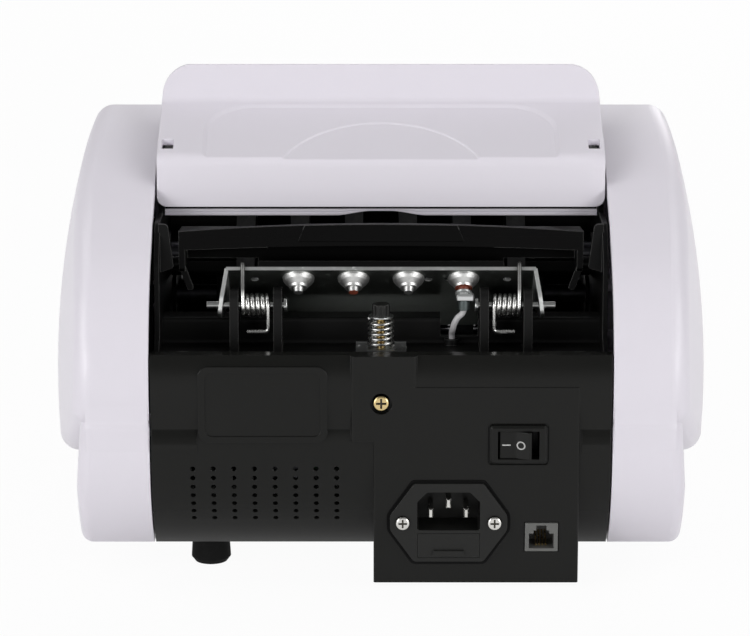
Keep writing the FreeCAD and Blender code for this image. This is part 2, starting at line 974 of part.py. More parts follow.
def shelf_panel():
    """Cutter for the wide shallow panel of the shelf, in the shelf's own plane, with sloping sides."""
    wires = []
    for level, grow in ((-panel_depth, -shelf_slope), (panel_depth, shelf_slope)):
        half = panel_half + grow
        rear = panel_length_up + grow
        corners = [
            (V(-half, -lip_round, level), 0),
            (V(half, -lip_round, level), 0),
            (V(half, rear, level), panel_round),
            (V(-half, rear, level), panel_round),
        ]
        wires.append(Part.Wire(rounded_edges(corners, True)))
    return Part.makeLoft(wires, True, True)


def shelf_arch():
    """Cutter for the deeper arch in the middle of the shelf."""
    radius = ((arch_chord / 2) ** 2 + arch_rise ** 2) / (2 * arch_rise)
    foot = V(0, arch_rise - radius, -arch_depth)
    cone = Part.makeCone(radius - shelf_slope, radius + shelf_slope, 2 * arch_depth, foot)
    keep = span_box((-arch_chord, arch_chord), (-lip_round, arch_chord), (-2 * arch_depth, 2 * arch_depth))
    return cone.common(keep)


def hopper_plate():
    corners = [
        (lip_y, lip_bottom_z, 0),
        (lip_y, lip_top_z, lip_round),
        (crease_y, crease_z, crease_round),
        (flap_top_y, flap_top_z, 0),
    ]
    strip = side_strip(-hopper_half, corners, hopper_wall)
    sheet = along_x(strip, 2 * hopper_half)
    front = [
        (-hopper_half, lip_bottom_z, lip_corner),
        (hopper_half, lip_bottom_z, lip_corner),
        (hopper_half, crease_z, 0),
        (flap_top_half, flap_top_z, flap_corner),
        (-flap_top_half, flap_top_z, flap_corner),
        (-hopper_half, crease_z, 0),
    ]
    sheet = sheet.common(along_y(rear_face(2 * lip_y, front), -2 * lip_y))
    slope = math.degrees(math.atan2(crease_z - lip_top_z, crease_y - lip_y))
    for hollow in (shelf_panel(), shelf_arch()):
        sheet = sheet.cut(tilted(hollow, lip_y, lip_top_z, -slope))
    for side in (-1, 1):
        low, high = sorted((side * notch_inner, side * notch_outer))
        notch_z = (lip_bottom_z + 8, flap_top_z)
        sheet = sheet.cut(span_box((low, high), (notch_rear_y, notch_front_y), notch_z))
    ear = rod_x(hinge_ear_radius, hinge_ear_x, hinge_ear_x + hinge_ear, hinge_y, hinge_z)
    stem = span_box(
        (hinge_ear_x, hinge_ear_x + hinge_ear),
        (hinge_y - hinge_ear_radius, hinge_y + hinge_ear_radius),
        (hinge_z, lip_top_z + 2.2),
    )
    ear = ear.fuse(stem).cut(rod_x(hinge_radius + running_fit, hinge_ear_x - 1, hinge_ear_x + hinge_ear + 1,
                                   hinge_y, hinge_z))
    return join([sheet, ear, mirrored(ear)])


def hopper_pins():
    pin = rod_x(hinge_radius, hinge_ear_x - 1, frame_outer, hinge_y, hinge_z)
    return group([pin, mirrored(pin)])


def hopper_gate():
    corners = [(-frame_inner, gate_bottom_z, 0), (frame_inner, gate_bottom_z, 0),
               (frame_inner, gate_top_z, 0), (-frame_inner, gate_top_z, 0)]
    wall = along_y(rear_face(gate_y, corners), hopper_wall)
    arch_radius = (gate_arch_half ** 2 + gate_arch_rise ** 2) / (2 * gate_arch_rise)
    arch_z = gate_bottom_z + gate_arch_rise - arch_radius
    wall = wall.cut(rod_y(arch_radius, gate_y - 1, gate_y + hopper_wall + 1, 0, arch_z))
    rim_z = (gate_top_z - hopper_wall, gate_top_z)
    rim = span_box((-frame_inner, frame_inner), (gate_y, gate_y + 3 * hopper_wall), rim_z)
    return join([wall, rim])


def tray_slope():
    return math.degrees(math.atan2(tray_rear_z - tray_front_z, tray_front_y - tray_rear_y))


def tray_length():
    return math.hypot(tray_front_y - tray_rear_y, tray_front_z - tray_rear_z)


def guide_middle():
    return tray_length() / 2


def on_tray(shape):
    return tilted(shape, tray_rear_y, tray_rear_z, tray_slope())


def hopper_tray():
    half = frame_inner
    sheet = span_box((-half, half), (0, tray_length()), (-hopper_wall, 0))
    front = tray_length()
    lip = span_box((-half, half), (front - hopper_wall, front), (-3 * hopper_wall, -hopper_wall))
    sheet = join([sheet, lip])
    slot_half = guide_stem / 2 + clearance
    for side in (-1, 1):
        ends = sorted((side * (guide_x - guide_travel - slot_half), side * (guide_x + slot_half)))
        slot = span_box(ends, (guide_middle() - slot_half, guide_middle() + slot_half), (-2 * hopper_wall, 1))
        sheet = sheet.cut(slot)
    return on_tray(sheet)


def hopper_guide():
    start = guide_middle() - guide_length / 2
    end = guide_middle() + guide_length / 2
    left = guide_x - guide_thick / 2
    profile = [
        (start, clearance, 2),
        (end, clearance, 2),
        (end, guide_front_height, 6),
        (start, guide_height, 8),
    ]
    fin = along_x(side_face(left, profile), guide_thick)
    half = guide_stem / 2
    stem = rod_z(half, -hopper_wall - clearance, 1, guide_x, guide_middle())
    nut = rod_z(guide_stem, -2 * hopper_wall - clearance, -hopper_wall - clearance, guide_x, guide_middle())
    return on_tray(join([fin, stem, nut]))


# Feed wheels and the friction bracket

def wheel_places(count):
    return [(index - (count - 1) / 2) * wheel_pitch for index in range(count)]


def feed_wheels():
    half = wheel_width / 2
    hub = shaft_radius + 3
    rim = feed_radius - 4
    wheels = []
    for x in wheel_places(wheel_count):
        profile = [
            (shaft_radius, x - half), (hub, x - half), (hub, x - 1.5), (rim, x - 1.5), (rim, x - half),
            (feed_radius, x - half), (feed_radius, x + half), (rim, x + half), (rim, x + 1.5), (hub, x + 1.5),
            (hub, x + half), (shaft_radius, x + half),
        ]
        wheels.append(turned_profile(profile, feed_y, feed_z))
    return group(wheels)


def plain_shaft(y, z, left, right):
    return rod_x(shaft_radius, left, right, y, z)


def on_bracket(shape):
    return tilted(shape, bracket_edge_y, bracket_edge_z, bracket_tilt)


def friction_bracket():
    back = span_box((-bracket_half, bracket_half), (0, bracket_back_length), (0, bracket_sheet))
    tongue = span_box((-bracket_front_half, bracket_front_half), (0, bracket_length), (0, bracket_sheet))
    plate = join([back, tongue])
    for x, y in [(-50.5, 8), (50.5, 8), (19, 8), (27, 8)]:
        plate = plate.cut(rod_z(1.6, -1, bracket_sheet + 1, x, y))
    plate = on_bracket(plate)
    tilt = math.radians(bracket_tilt)
    lap_y = bracket_sheet / 2 * math.sin(tilt)
    lap_z = bracket_sheet / 2 * math.cos(tilt)
    end_y = bracket_edge_y + bracket_back_length * math.cos(tilt)
    end_z = bracket_edge_z - bracket_back_length * math.sin(tilt)
    ear_corners = [
        (bracket_edge_y + lap_y, bracket_edge_z + lap_z, 0),
        (end_y + lap_y, end_z + lap_z, 2),
        (pivot_y + 6, pivot_z - 5, 4),
        (pivot_y - 5, pivot_z - 5, 4),
        (pivot_y - 5, pivot_z + 4, 4),
    ]
    ear = along_x(side_face(bracket_half - bracket_sheet + 0.7, ear_corners), bracket_sheet)
    bend = V(0, math.cos(tilt), -math.sin(tilt))
    ear.rotate(V(bracket_half, bracket_edge_y, bracket_edge_z), bend, -ear_flare)
    ear = ear.cut(rod_x(pivot_radius + running_fit, 0, cover_gap_half, pivot_y, pivot_z))
    return join([plate, ear, mirrored(ear)])


def screw_places():
    return wheel_places(4)


def bracket_screws():
    profile = [
        (0, 0),
        (cup_radius, 0),
        (cup_radius - 0.2, -1),
        (cup_shoulder_radius, -cup_shoulder),
        (cup_foot_radius + 0.4, -cup_height + 0.9),
        (cup_foot_radius, -cup_height),
        (cup_tip_radius, -cup_height),
        (cup_tip_radius - 0.3, -cup_tip_height),
        (0, -cup_tip_height),
    ]
    return group([on_bracket(turned_upright(profile, x, bracket_screw_row)) for x in screw_places()])


def friction_pads():
    tilt = math.radians(bracket_tilt)
    dy = feed_y - bracket_edge_y
    dz = feed_z - bracket_edge_z
    wheel_up = dy * math.sin(tilt) + dz * math.cos(tilt)
    pad_top = wheel_up - feed_radius - clearance
    pads = []
    for x in screw_places():
        low = x - pad_width / 2
        strip_top = bracket_sheet + pad_strip
        profile = [
            (1, bracket_sheet, 0),
            (pad_end, bracket_sheet, 0),
            (pad_end, pad_top, 1),
            (pad_start, pad_top, 1),
            (pad_start - 3, strip_top, 1),
            (1, strip_top, 0),
        ]
        pads.append(on_bracket(along_x(side_face(low, profile), pad_width)))
    return group(pads)


def pivot_pins():
    pin = rod_x(pivot_radius, pivot_inner_x, pivot_outer_x, pivot_y, pivot_z)
    head = rod_x(pivot_head_radius, pivot_inner_x, pivot_inner_x + pivot_head, pivot_y, pivot_z)
    head = head.makeFillet(0.5, [edge for edge in head.Edges if edge.BoundBox.XMax < pivot_inner_x + 0.1])
    pin = pin.fuse(head)
    return group([pin, mirrored(pin)])


def torsion_spring():
    start = 180 - hook_lean
    end = 180 + 360 * coil_turns
    centre = (pivot_y, pivot_z)
    rise = (coil_inner_x - coil_outer_x) / math.radians(end - start)

    def place(degrees):
        y, z = polar(centre, coil_mean_radius, degrees)
        return V(coil_outer_x + rise * math.radians(degrees - start), y, z)

    def heading(degrees):
        turn = math.radians(degrees)
        way = V(rise, -coil_mean_radius * math.sin(turn), coil_mean_radius * math.cos(turn))
        return way.normalize()

    coil = helix_edges(place, heading, start, end, 4 * coil_turns)
    tilt = math.radians(bracket_tilt)
    slope = V(0, math.cos(tilt), -math.sin(tilt))
    normal = V(0, math.sin(tilt), math.cos(tilt))
    wire_lift = bracket_sheet + clearance + coil_wire / 2
    edge = V(coil_outer_x, bracket_edge_y, bracket_edge_z) + normal * wire_lift
    up = heading(start) * -1
    first = place(start)
    across = slope.cross(V(1, 0, 0))
    reach = (edge - first).dot(across) / up.dot(across)
    corner = first + up * reach
    tip = corner + slope * hook_tail
    tip.x = corner.x
    hook = rounded_edges([(tip, 0), (corner, hook_bend), (first, 0)])
    last = place(end)
    down = heading(end)
    knee = last + down * ((last.z - leg_foot_z) / -down.z)
    foot = V(leg_end_x, knee.y, knee.z)
    leg = rounded_edges([(last, 0), (knee, leg_bend), (foot, 0)])
    least_gap("torsion spring", coil, coil_wire, 40)
    return wire_tube(hook + coil + leg, coil_wire / 2)


# Guide bar

def shallow_arch(rise, crest_z):
    """Wide round body whose crown passes over the guide bar, falling by rise at its ends."""
    radius = (bar_half ** 2 + rise ** 2) / (2 * rise)
    return rod_y(radius, bar_rear_y - 2, bar_rear_y + bar_wall + 0.4, 0, crest_z - radius)


def guide_bar():
    guide_radius = feed_radius + bar_guide_gap
    low_angle = 180 - math.degrees(math.asin((bar_lip_bottom_z - feed_z) / guide_radius))
    high_angle = 180 - math.degrees(math.asin((bar_front_z - feed_z) / guide_radius))
    arc = round_arc(-bar_half, (feed_y, feed_z), guide_radius, high_angle, low_angle)
    high = arc.valueAt(arc.FirstParameter)
    back = [(V(-bar_half, bar_rear_y, bar_bottom_z), 0), (V(-bar_half, bar_rear_y, bar_top_z), 2), (high, 0)]
    line = Part.Wire(rounded_edges(back) + [arc])
    skin = along_x(line.makeOffset2D(bar_wall, 0, True, True), 2 * bar_half)
    skin = skin.cut(shallow_arch(bar_arch, bar_bottom_z + bar_arch))
    for side in (-1, 1):
        ends = sorted((side * bar_lip_half, side * 2 * bar_half))
        low_z = (bar_lip_bottom_z - bar_wall, bar_guide_bottom_z)
        skin = skin.cut(span_box(ends, (bar_rear_y, feed_y), low_z))
    crown = shallow_arch(bar_hump, bar_top_z + bar_hump)
    wall_y = (bar_rear_y, bar_rear_y + bar_wall)
    crest = span_box((-bar_half, bar_half), wall_y, (bar_top_z - 2, bar_top_z + 2 * bar_hump)).common(crown)
    hump = [(-bar_hump_half - 4, bar_top_z - 4, 0), (bar_hump_half + 4, bar_top_z - 4, 0),
            (bar_hump_half, bar_top_z + 2 * bar_hump, 0), (-bar_hump_half, bar_top_z + 2 * bar_hump, 0)]
    hump = along_y(rear_face(bar_rear_y - bar_hump_proud, hump), bar_wall).common(crown)
    end_corners = [(bar_rear_y, bar_bottom_z, 1), (bar_rear_y, bar_top_z, 2), (high.y, high.z, 1),
                   (arc.valueAt(arc.LastParameter).y, bar_guide_bottom_z, 1),
                   (bar_pivot_y + 3, bar_pivot_z - 4, 2), (bar_pivot_y - 3, bar_pivot_z - 3, 2)]
    end = along_x(side_face(bar_half - bar_end, end_corners), bar_end)
    pin = rod_x(bar_pivot_radius, bar_half - 1, bar_pin_end, bar_pivot_y, bar_pivot_z)
    tab = along_y(rear_face(bar_pivot_y - bar_wall, [
        (bar_tab_top_x, bar_pivot_z, 0),
        (bar_tab_foot_x, bar_tab_bottom_z, 1),
        (bar_tab_foot_x + bar_tab_wide, bar_tab_bottom_z, 1),
        (bar_tab_top_x + bar_tab_wide, bar_pivot_z, 0),
    ]), bar_wall)
    side = join([end, pin, tab])
    return join([skin, crest, hump, side, mirrored(side)])


# Mechanism floor, adjuster and ground lead

def mechanism_floor():
    half = frame_inner
    corners = [(floor_rear_y, floor_top_z, 0), (step_y - floor_wall, floor_top_z, 1.5),
               (step_y - floor_wall, ledge_z, 1.5), (ledge_front_y, ledge_z, 0)]
    deck = along_x(side_strip(-half, corners, floor_wall), 2 * half)
    hole = span_box((lead_hole_left, lead_hole_right), (step_y - 2 * floor_wall, ledge_front_y + 1),
                    (lead_hole_bottom_z, ledge_z + 1))
    deck = deck.cut(hole)
    pieces = [deck]
    for inner in (lug_inner_x, lug_outer_x):
        lug_top = pivot_z + lug_radius
        post = [
            (pivot_y - lug_radius, floor_top_z - 1, 0),
            (pivot_y + lug_radius, floor_top_z - 1, 0),
            (pivot_y + lug_radius - 2, lug_top, 4),
            (pivot_y - lug_radius + 2, lug_top, 4),
        ]
        lug = along_x(side_face(inner, post), lug_thick)
        lug = lug.cut(rod_x(pivot_radius, inner - 1, inner + lug_thick + 1, pivot_y, pivot_z))
        pieces += [lug, mirrored(lug)]
    stop_y = floor_rear_y + stop_set_in
    stop = Part.makeBox(stop_size, stop_size, stop_size, V(stop_x, stop_y, floor_top_z))
    pieces += [stop, mirrored(stop)]
    boss = rod_y(cover_screw_well, -113, -106, 0, cover_screw_z)
    web = span_box((-cover_screw_well, cover_screw_well), (-113, -106), (cover_screw_z, floor_top_z - 1))
    pieces += [boss, web]
    grommet = rod_z(grommet_radius, floor_top_z - 1, floor_top_z + grommet_height, grommet_x, grommet_y)
    floor = join(pieces + [grommet])
    well = rod_z(lead_radius + clearance, floor_top_z + grommet_height - grommet_depth,
                 floor_top_z + grommet_height + 1, grommet_x, grommet_y)
    screw_hole = rod_y(cover_screw_shank, -114, -105, 0, cover_screw_z)
    hole_z = floor_top_z - 2 * floor_wall
    adjuster_hole = rod_z(screw_radius + clearance, hole_z, floor_top_z + 1, 0, adjuster_y)
    return floor.cut(group([well, screw_hole, adjuster_hole]))


def seat_clip():
    base = span_box((-seat_half, seat_half), (adjuster_y - seat_depth / 2, adjuster_y + seat_depth / 2),
                    (floor_top_z, floor_top_z + seat_sheet))
    base = base.cut(rod_z(screw_radius + clearance, floor_top_z - 1, floor_top_z + 2, 0, adjuster_y))
    rear = adjuster_y - seat_depth / 2
    tab_z = (floor_top_z, floor_top_z + seat_tab_height)
    tab = span_box((seat_half - seat_tab, seat_half), (rear, rear + seat_sheet), tab_z)
    return join([base, tab, mirrored(tab)])


def adjuster_washer():
    top = knob_bottom_z
    ring = rod_z(washer_radius, top - washer_thick, top, 0, adjuster_y)
    return ring.cut(rod_z(screw_radius + running_fit, top - 2, top + 1, 0, adjuster_y))


def adjuster_knob():
    body = rod_z(knob_radius, knob_bottom_z, knob_top_z, 0, adjuster_y)
    body = body.makeFillet(0.6, [edge for edge in body.Edges if edge.BoundBox.ZMin > knob_top_z - 0.1])
    for index in range(knob_flutes):
        x, y = polar((0, adjuster_y), knob_radius + 0.4, 360 / knob_flutes * index)
        body = body.cut(rod_z(0.8, knob_bottom_z - 1, knob_top_z + 1, x, y))
    bore = screw_radius + running_fit
    return body.cut(rod_z(bore, knob_bottom_z - 1, knob_top_z - knob_cap, 0, adjuster_y))


def adjuster_screw():
    return rod_z(screw_radius, screw_bottom_z, knob_top_z - knob_cap - screw_play, 0, adjuster_y)


def adjuster_spring():
    low = floor_top_z + seat_sheet + spring_wire / 2 + 0.05
    high = knob_bottom_z - washer_thick - spring_wire / 2 - 0.05
    end = 360 * spring_turns
    rise = (high - low) / math.radians(end)

    def place(degrees):
        x, y = polar((0, adjuster_y), spring_mean_radius, degrees)
        return V(x, y, low + rise * math.radians(degrees))

    def heading(degrees):
        turn = math.radians(degrees)
        way = V(-spring_mean_radius * math.sin(turn), spring_mean_radius * math.cos(turn), rise)
        return way.normalize()

    coil = helix_edges(place, heading, 0, end, int(4 * spring_turns))
    least_gap("adjuster spring", coil, spring_wire, 40)
    return wire_tube(coil, spring_wire / 2)


def ground_terminal():
    x = screw_places()[-1]
    ring = rod_z(terminal_radius, -cup_tip_height - terminal_sheet, -cup_tip_height, x, bracket_screw_row)
    ring = on_bracket(ring)
    tilt = math.radians(bracket_tilt)
    tip_z = bracket_edge_z - bracket_screw_row * math.sin(tilt) - cup_tip_height * math.cos(tilt)
    neck = span_box((x - 1.4, x + 1.4), (crimp_y - terminal_sheet / 2, crimp_y + terminal_sheet / 2),
                    (crimp_bottom() + 1, tip_z + 0.6))
    barrel = rod_z(crimp_radius, crimp_bottom(), crimp_bottom() + crimp_length, x, crimp_y)
    return join([ring, neck, barrel])


def crimp_bottom():
    tilt = math.radians(bracket_tilt)
    tip_z = bracket_edge_z - bracket_screw_row * math.sin(tilt) - cup_tip_height * math.cos(tilt)
    return tip_z - 2.4 - crimp_length


def ground_lead():
    """Two equal arcs from the crimp down into the grommet."""
    top = V(lead_x, crimp_y, crimp_bottom())
    foot = V(grommet_x, grommet_y, floor_top_z + grommet_height - grommet_depth)
    half = math.atan2(math.hypot(foot.x - top.x, foot.y - top.y), top.z - foot.z)
    bend = (top.z - foot.z) / (2 * math.sin(2 * half))
    middle = (top + foot) * 0.5
    reach = bend * math.tan(half)
    path = [tangent_arc(top, top - V(0, 0, reach), middle), tangent_arc(middle, foot + V(0, 0, reach), foot)]
    tube = wire_tube(path, lead_radius)
    length = sum(edge.Length for edge in path)
    share = tube.Volume / (math.pi * lead_radius ** 2 * length)
    print("ground lead bend radius", round(bend, 2), "mm, length", round(length, 1), "mm")
    print("ground lead volume over section times length", round(share, 4))
    return tube


# Power inlet, switch and jack

def inlet_body(grow):
    half = inlet_body_half + grow
    bottom = drawer_bottom_z - 1.2 - grow
    top = socket_top_z + 1.6 + grow
    depth = (box_face_y - 1, box_face_y + inlet_body_depth)
    return span_box((inlet_x - half, inlet_x + half), depth, (bottom, top))


def inlet_screw_places():
    return (inlet_x - inlet_screw_half, inlet_x + inlet_screw_half)


def inlet_plate(grow, start, end):
    """Six-sided flange of the inlet between two depths."""
    low = inlet_z - inlet_half_height - grow
    high = inlet_z + inlet_half_height + grow
    flat = inlet_flat_half + grow / 2
    reach = inlet_half + grow
    ring = [
        (inlet_x - flat, low, 2), (inlet_x + flat, low, 2),
        (inlet_x + reach, inlet_z - 3, 4), (inlet_x + reach, inlet_z + 3, 4),
        (inlet_x + flat, high, 2), (inlet_x - flat, high, 2),
        (inlet_x - reach, inlet_z + 3, 4), (inlet_x - reach, inlet_z - 3, 4),
    ]
    return along_y(rear_face(start, ring), end - start)


def mains_inlet():
    body = join([inlet_plate(0, box_face_y - inlet_flange, box_face_y + seat_sunk), inlet_body(0)])
    face = box_face_y - inlet_flange
    left = inlet_x - socket_half
    right = inlet_x + socket_half
    shoulder = socket_top_z - socket_chamfer
    mouth = [
        (left, socket_bottom_z, 1),
        (right, socket_bottom_z, 1),
        (right, shoulder, 1),
        (right - socket_chamfer, socket_top_z, 1),
        (left + socket_chamfer, socket_top_z, 1),
        (left, shoulder, 1),
    ]
    socket = along_y(rear_face(face - 1, mouth), socket_depth + 1)
    gap = clearance / 2
    reach = drawer_half + gap
    pocket = span_box((inlet_x - reach, inlet_x + reach), (face - 1, face + drawer_depth + clearance),
                      (drawer_bottom_z - gap, drawer_top_z + gap))
    hole = inlet_shank_radius + clearance
    holes = [rod_y(hole, face - 1, box_face_y + 2, x, inlet_z) for x in inlet_screw_places()]
    return body.cut(group([socket, pocket] + holes))


def inlet_pins():
    back = box_face_y - inlet_flange + socket_depth
    pins = []
    for offset, lift in ((-pin_pitch / 2, 0), (0, pin_earth_lift), (pin_pitch / 2, 0)):
        x = inlet_x + offset
        z = pin_row_z + lift
        half = pin_thick / 2
        tall = pin_wide / 2
        blade = span_box((x - half, x + half), (back - pin_length, back), (z - tall, z + tall))
        tip = [edge for edge in blade.Edges if edge.BoundBox.YMax < back - pin_length + 0.1]
        pins.append(blade.makeChamfer(0.5, tip))
    return group(pins)


def fuse_drawer():
    face = box_face_y - inlet_flange
    back = face + drawer_depth
    low = drawer_bottom_z
    outer = span_box((inlet_x - drawer_half, inlet_x + drawer_half), (face, back), (low, drawer_top_z))
    inner = drawer_half - drawer_wall
    room = span_box((inlet_x - inner, inlet_x + inner), (face + 3 * drawer_wall, back - drawer_wall),
                    (low + drawer_wall, drawer_top_z + 1))
    reach = drawer_half / 2
    grip = span_box((inlet_x - reach, inlet_x + reach), (face - drawer_front, face), (low + 1, low + 3))
    return join([outer.cut(room), grip])


def inlet_screws():
    face = box_face_y - inlet_flange
    screws = []
    for x in inlet_screw_places():
        head = rod_y(inlet_screw_radius, face - 1.4, face, x, inlet_z)
        head = head.makeFillet(0.8, [edge for edge in head.Edges if edge.BoundBox.YMax < face - 1.3])
        head = head.cut(cross_slot(1.7, 0.35, face - 2, face - 0.6, x, inlet_z))
        screws.append(head.fuse(rod_y(inlet_shank_radius, face, face + inlet_shank, x, inlet_z)))
    return group(screws)


def switch_body(grow):
    half = switch_body_half + grow
    tall = switch_body_half_height + grow
    return span_box((switch_x - half, switch_x + half), (box_face_y - 1, box_face_y + switch_depth),
                    (switch_z - tall, switch_z + tall))


def switch_plate(grow, start, end):
    half = switch_half + grow
    tall = switch_half_height + grow
    ring = [(switch_x + sx * half, switch_z + sz * tall, 1.5)
            for sx, sz in ((-1, -1), (1, -1), (1, 1), (-1, 1))]
    return along_y(rear_face(start, ring), end - start)


def switch_frame():
    face = box_face_y - switch_bezel
    bezel = switch_plate(0, face, box_face_y + seat_sunk)
    front = [edge for edge in bezel.Edges if edge.BoundBox.YMax < face + 0.1]
    bezel = bezel.makeChamfer(bezel_chamfer, front)
    body = join([bezel, switch_body(0)])
    swing = math.radians(rocker_tilt)
    depth = rocker_axle_depth + rocker_proud
    room_half = rocker_half * math.cos(swing) + depth * math.sin(swing) + clearance
    room = span_box((switch_x - room_half, switch_x + room_half), (face - 1, box_face_y + switch_depth - 2),
                    (switch_z - rocker_half_height - clearance, switch_z + rocker_half_height + clearance))
    reach = rocker_half_height + rocker_pin_end + 0.2
    radius = rocker_pin + running_fit
    bore = rod_z(radius, switch_z - reach, switch_z + reach, switch_x, rocker_axis_y())
    return body.cut(room).cut(bore)


def rocker_axis_y():
    return box_face_y - switch_bezel + rocker_axle_depth


def switch_rocker():
    face = box_face_y - switch_bezel
    back = rocker_axis_y() + rocker_back
    plan = [
        (V(switch_x - rocker_half, face - rocker_proud, 0), 0.8),
        (V(switch_x, face + rocker_valley, 0), 6),
        (V(switch_x + rocker_half, face - rocker_proud, 0), 0.8),
        (V(switch_x + rocker_half - 1, rocker_axis_y() + 1.5, 0), 1),
        (V(switch_x + 2.5, back, 0), 1),
        (V(switch_x - 2.5, back, 0), 1),
        (V(switch_x - rocker_half + 1, rocker_axis_y() + 1.5, 0), 1),
    ]
    body = face_from(rounded_edges(plan, True)).extrude(V(0, 0, 2 * rocker_half_height))
    body.translate(V(0, 0, switch_z - rocker_half_height))
    reach = rocker_half_height + rocker_pin_end
    pin = rod_z(rocker_pin, switch_z - reach, switch_z + reach, switch_x, rocker_axis_y())
    rocker = join([body, pin])
    rocker.rotate(V(switch_x, rocker_axis_y(), 0), V(0, 0, 1), -rocker_tilt)
    return rocker


def jack_body(grow):
    half = jack_half + grow
    tall = jack_half_height + grow
    return span_box((jack_x - half, jack_x + half), (box_face_y - jack_proud, box_face_y + jack_depth),
                    (jack_z - tall, jack_z + tall))


def jack_floor_z():
    """Floor of the mouth, below the latch notch, the step and the wide part."""
    return jack_z + jack_half_height - jack_rim - jack_latch_height - jack_step_height - jack_mouth_height


def display_jack():
    face = box_face_y - jack_proud
    floor = jack_floor_z()
    wide = floor + jack_mouth_height
    step = wide + jack_step_height
    top = step + jack_latch_height
    half = [(jack_mouth_half, floor), (jack_mouth_half, wide), (jack_step_half, wide),
            (jack_step_half, step), (jack_latch_half, step), (jack_latch_half, top)]
    mouth = [(jack_x + x, z, 0) for x, z in half] + [(jack_x - x, z, 0) for x, z in reversed(half)]
    return jack_body(0).cut(along_y(rear_face(face - 1, mouth), jack_depth - 1))


def jack_contacts_group():
    face = box_face_y - jack_proud
    back = face + jack_depth - 2
    floor = jack_floor_z()
    wires = []
    for index in range(jack_contacts):
        x = jack_x + (index - (jack_contacts - 1) / 2) * contact_pitch
        ramp = [(back, floor + 4.2, 0), (back, floor + 3.6, 0),
                (face + 4, floor, 0), (face + 4, floor + 0.6, 0)]
        wires.append(along_x(side_face(x - 0.25, ramp), 0.5))
    return group(wires)


# Front panel, keys and stacker

def on_panel(shape):
    y, z = panel_start()
    return tilted(shape, y, z, panel_slope())


def panel_length():
    return math.hypot(arm_y - brow_y, arm_z - brow_z)


def key_places():
    return [(key_first_x + column * key_pitch_x, key_row_u) for column in range(key_count)]


def window_block(grow, low, high):
    half = window_half + grow
    top = window_top - grow
    bottom = window_top + window_height + grow
    corners = [V(-half, top, low), V(half, top, low), V(half, bottom, low), V(-half, bottom, low)]
    outline = rounded_edges([(corner, window_corner) for corner in corners], True)
    return face_from(outline).extrude(V(0, 0, high - low))


def front_panel():
    half = frame_inner
    sheet = span_box((-half, half), (0, panel_length()), (-panel_wall, 0))
    sheet = sheet.cut(window_block(0, -window_sheet, 1))
    sheet = sheet.cut(window_block(-3, -2 * panel_wall, 1))
    for x, u in key_places():
        sheet = sheet.cut(rod_z(key_stem + clearance, -2 * panel_wall, 1, x, u))
    sheet = on_panel(sheet)
    knee = panel_end()
    ceiling = [
        (knee[0], knee[1], 0),
        (knee[0] - ceiling_run, knee[1] - ceiling_drop, 0),
        (knee[0] - ceiling_run, knee[1] - ceiling_drop + panel_wall, 0),
        (knee[0] - panel_wall, knee[1] + panel_wall / 2, 0),
    ]
    return join([sheet, along_x(side_face(-half, ceiling), 2 * half)])


def display_window():
    return on_panel(window_block(-0.1, -window_sheet, 0.2))


def key_cap(x, u):
    low = key_travel + 0.2
    radius = key_half_height - 0.4
    corners = [
        (V(x + sx * key_half, u + sy * key_half_height, low), radius)
        for sx, sy in ((-1, -1), (1, -1), (1, 1), (-1, 1))
    ]
    cap = face_from(rounded_edges(corners, True)).extrude(V(0, 0, key_proud))
    cap = cap.makeFillet(0.6, [edge for edge in cap.Edges if edge.BoundBox.ZMin > low + key_proud - 0.1])
    stem = rod_z(key_stem, -panel_wall - 1.5, low + 0.5, x, u)
    return on_panel(join([cap, stem]))


def stacker_plate():
    half = frame_inner
    corners = [
        (pocket_y, pocket_top_z, 0),
        (pocket_y, pocket_floor_z, 8),
        (pocket_front_y, pocket_floor_z + 3, 6),
        (pocket_front_y + 6, pocket_lip_z, 0),
    ]
    plate = along_x(side_strip(-half, corners, pocket_wall), 2 * half)
    apron_half = half - base_sheet
    apron_y = pocket_front_y - 6
    apron_z = (base_top_z, pocket_floor_z + 1)
    apron = span_box((-apron_half, apron_half), (apron_y, apron_y + pocket_wall), apron_z)
    plate = join([plate, apron])
    slot_half = stacker_wheel_width / 2 + 2
    reach = stacker_radius + 2
    for side in (-1, 1):
        x = side * stacker_wheel_x
        plate = plate.cut(rod_x(reach, x - slot_half, x + slot_half, stacker_y, stacker_z))
    return plate


def stacker_wheels():
    centre = (stacker_y, stacker_z)
    half = stacker_wheel_width / 2
    wheels = []
    for x in (-stacker_wheel_x, stacker_wheel_x):
        left = x - half
        hub = rod_x(stacker_hub, left, x + half, stacker_y, stacker_z)
        disc = rod_x(stacker_radius, left, x + half, stacker_y, stacker_z)
        blades = []
        for index in range(stacker_blades):
            y, z = polar(centre, blade_curve, 360 / stacker_blades * index)
            outer = rod_x(blade_curve, left, x + half, y, z)
            inner = rod_x(blade_curve - blade_thick, left - 1, x + half + 1, y, z)
            keep = Part.makeBox(2 * half, 4 * blade_curve, 2 * blade_curve)
            keep.translate(V(-half, -2 * blade_curve, 0))
            keep.rotate(CENTRE, V(1, 0, 0), 360 / stacker_blades * index)
            keep.translate(V(x, stacker_y, stacker_z))
            blades.append(outer.cut(inner).common(keep).common(disc))
        wheel = join([hub] + blades)
        wheels.append(wheel.cut(rod_x(shaft_radius, left - 1, x + half + 1, stacker_y, stacker_z)))
    return group(wheels)


def note_guide():
    """Black sheet behind the feed wheels that turns forward over the count roller, down to the stacker."""
    corners = [
        (chute_end_y, chute_end_z, 0),
        (chute_bend_y, chute_bend_z, 10),
        (chute_crest_y, chute_crest_z, 6),
        (chute_rear_y, chute_low_z, chute_wall + clearance),
        (chute_rear_y, chute_top_z, 0),
    ]
    return along_x(side_strip(-frame_inner, corners, chute_wall), 2 * frame_inner)


# Drive

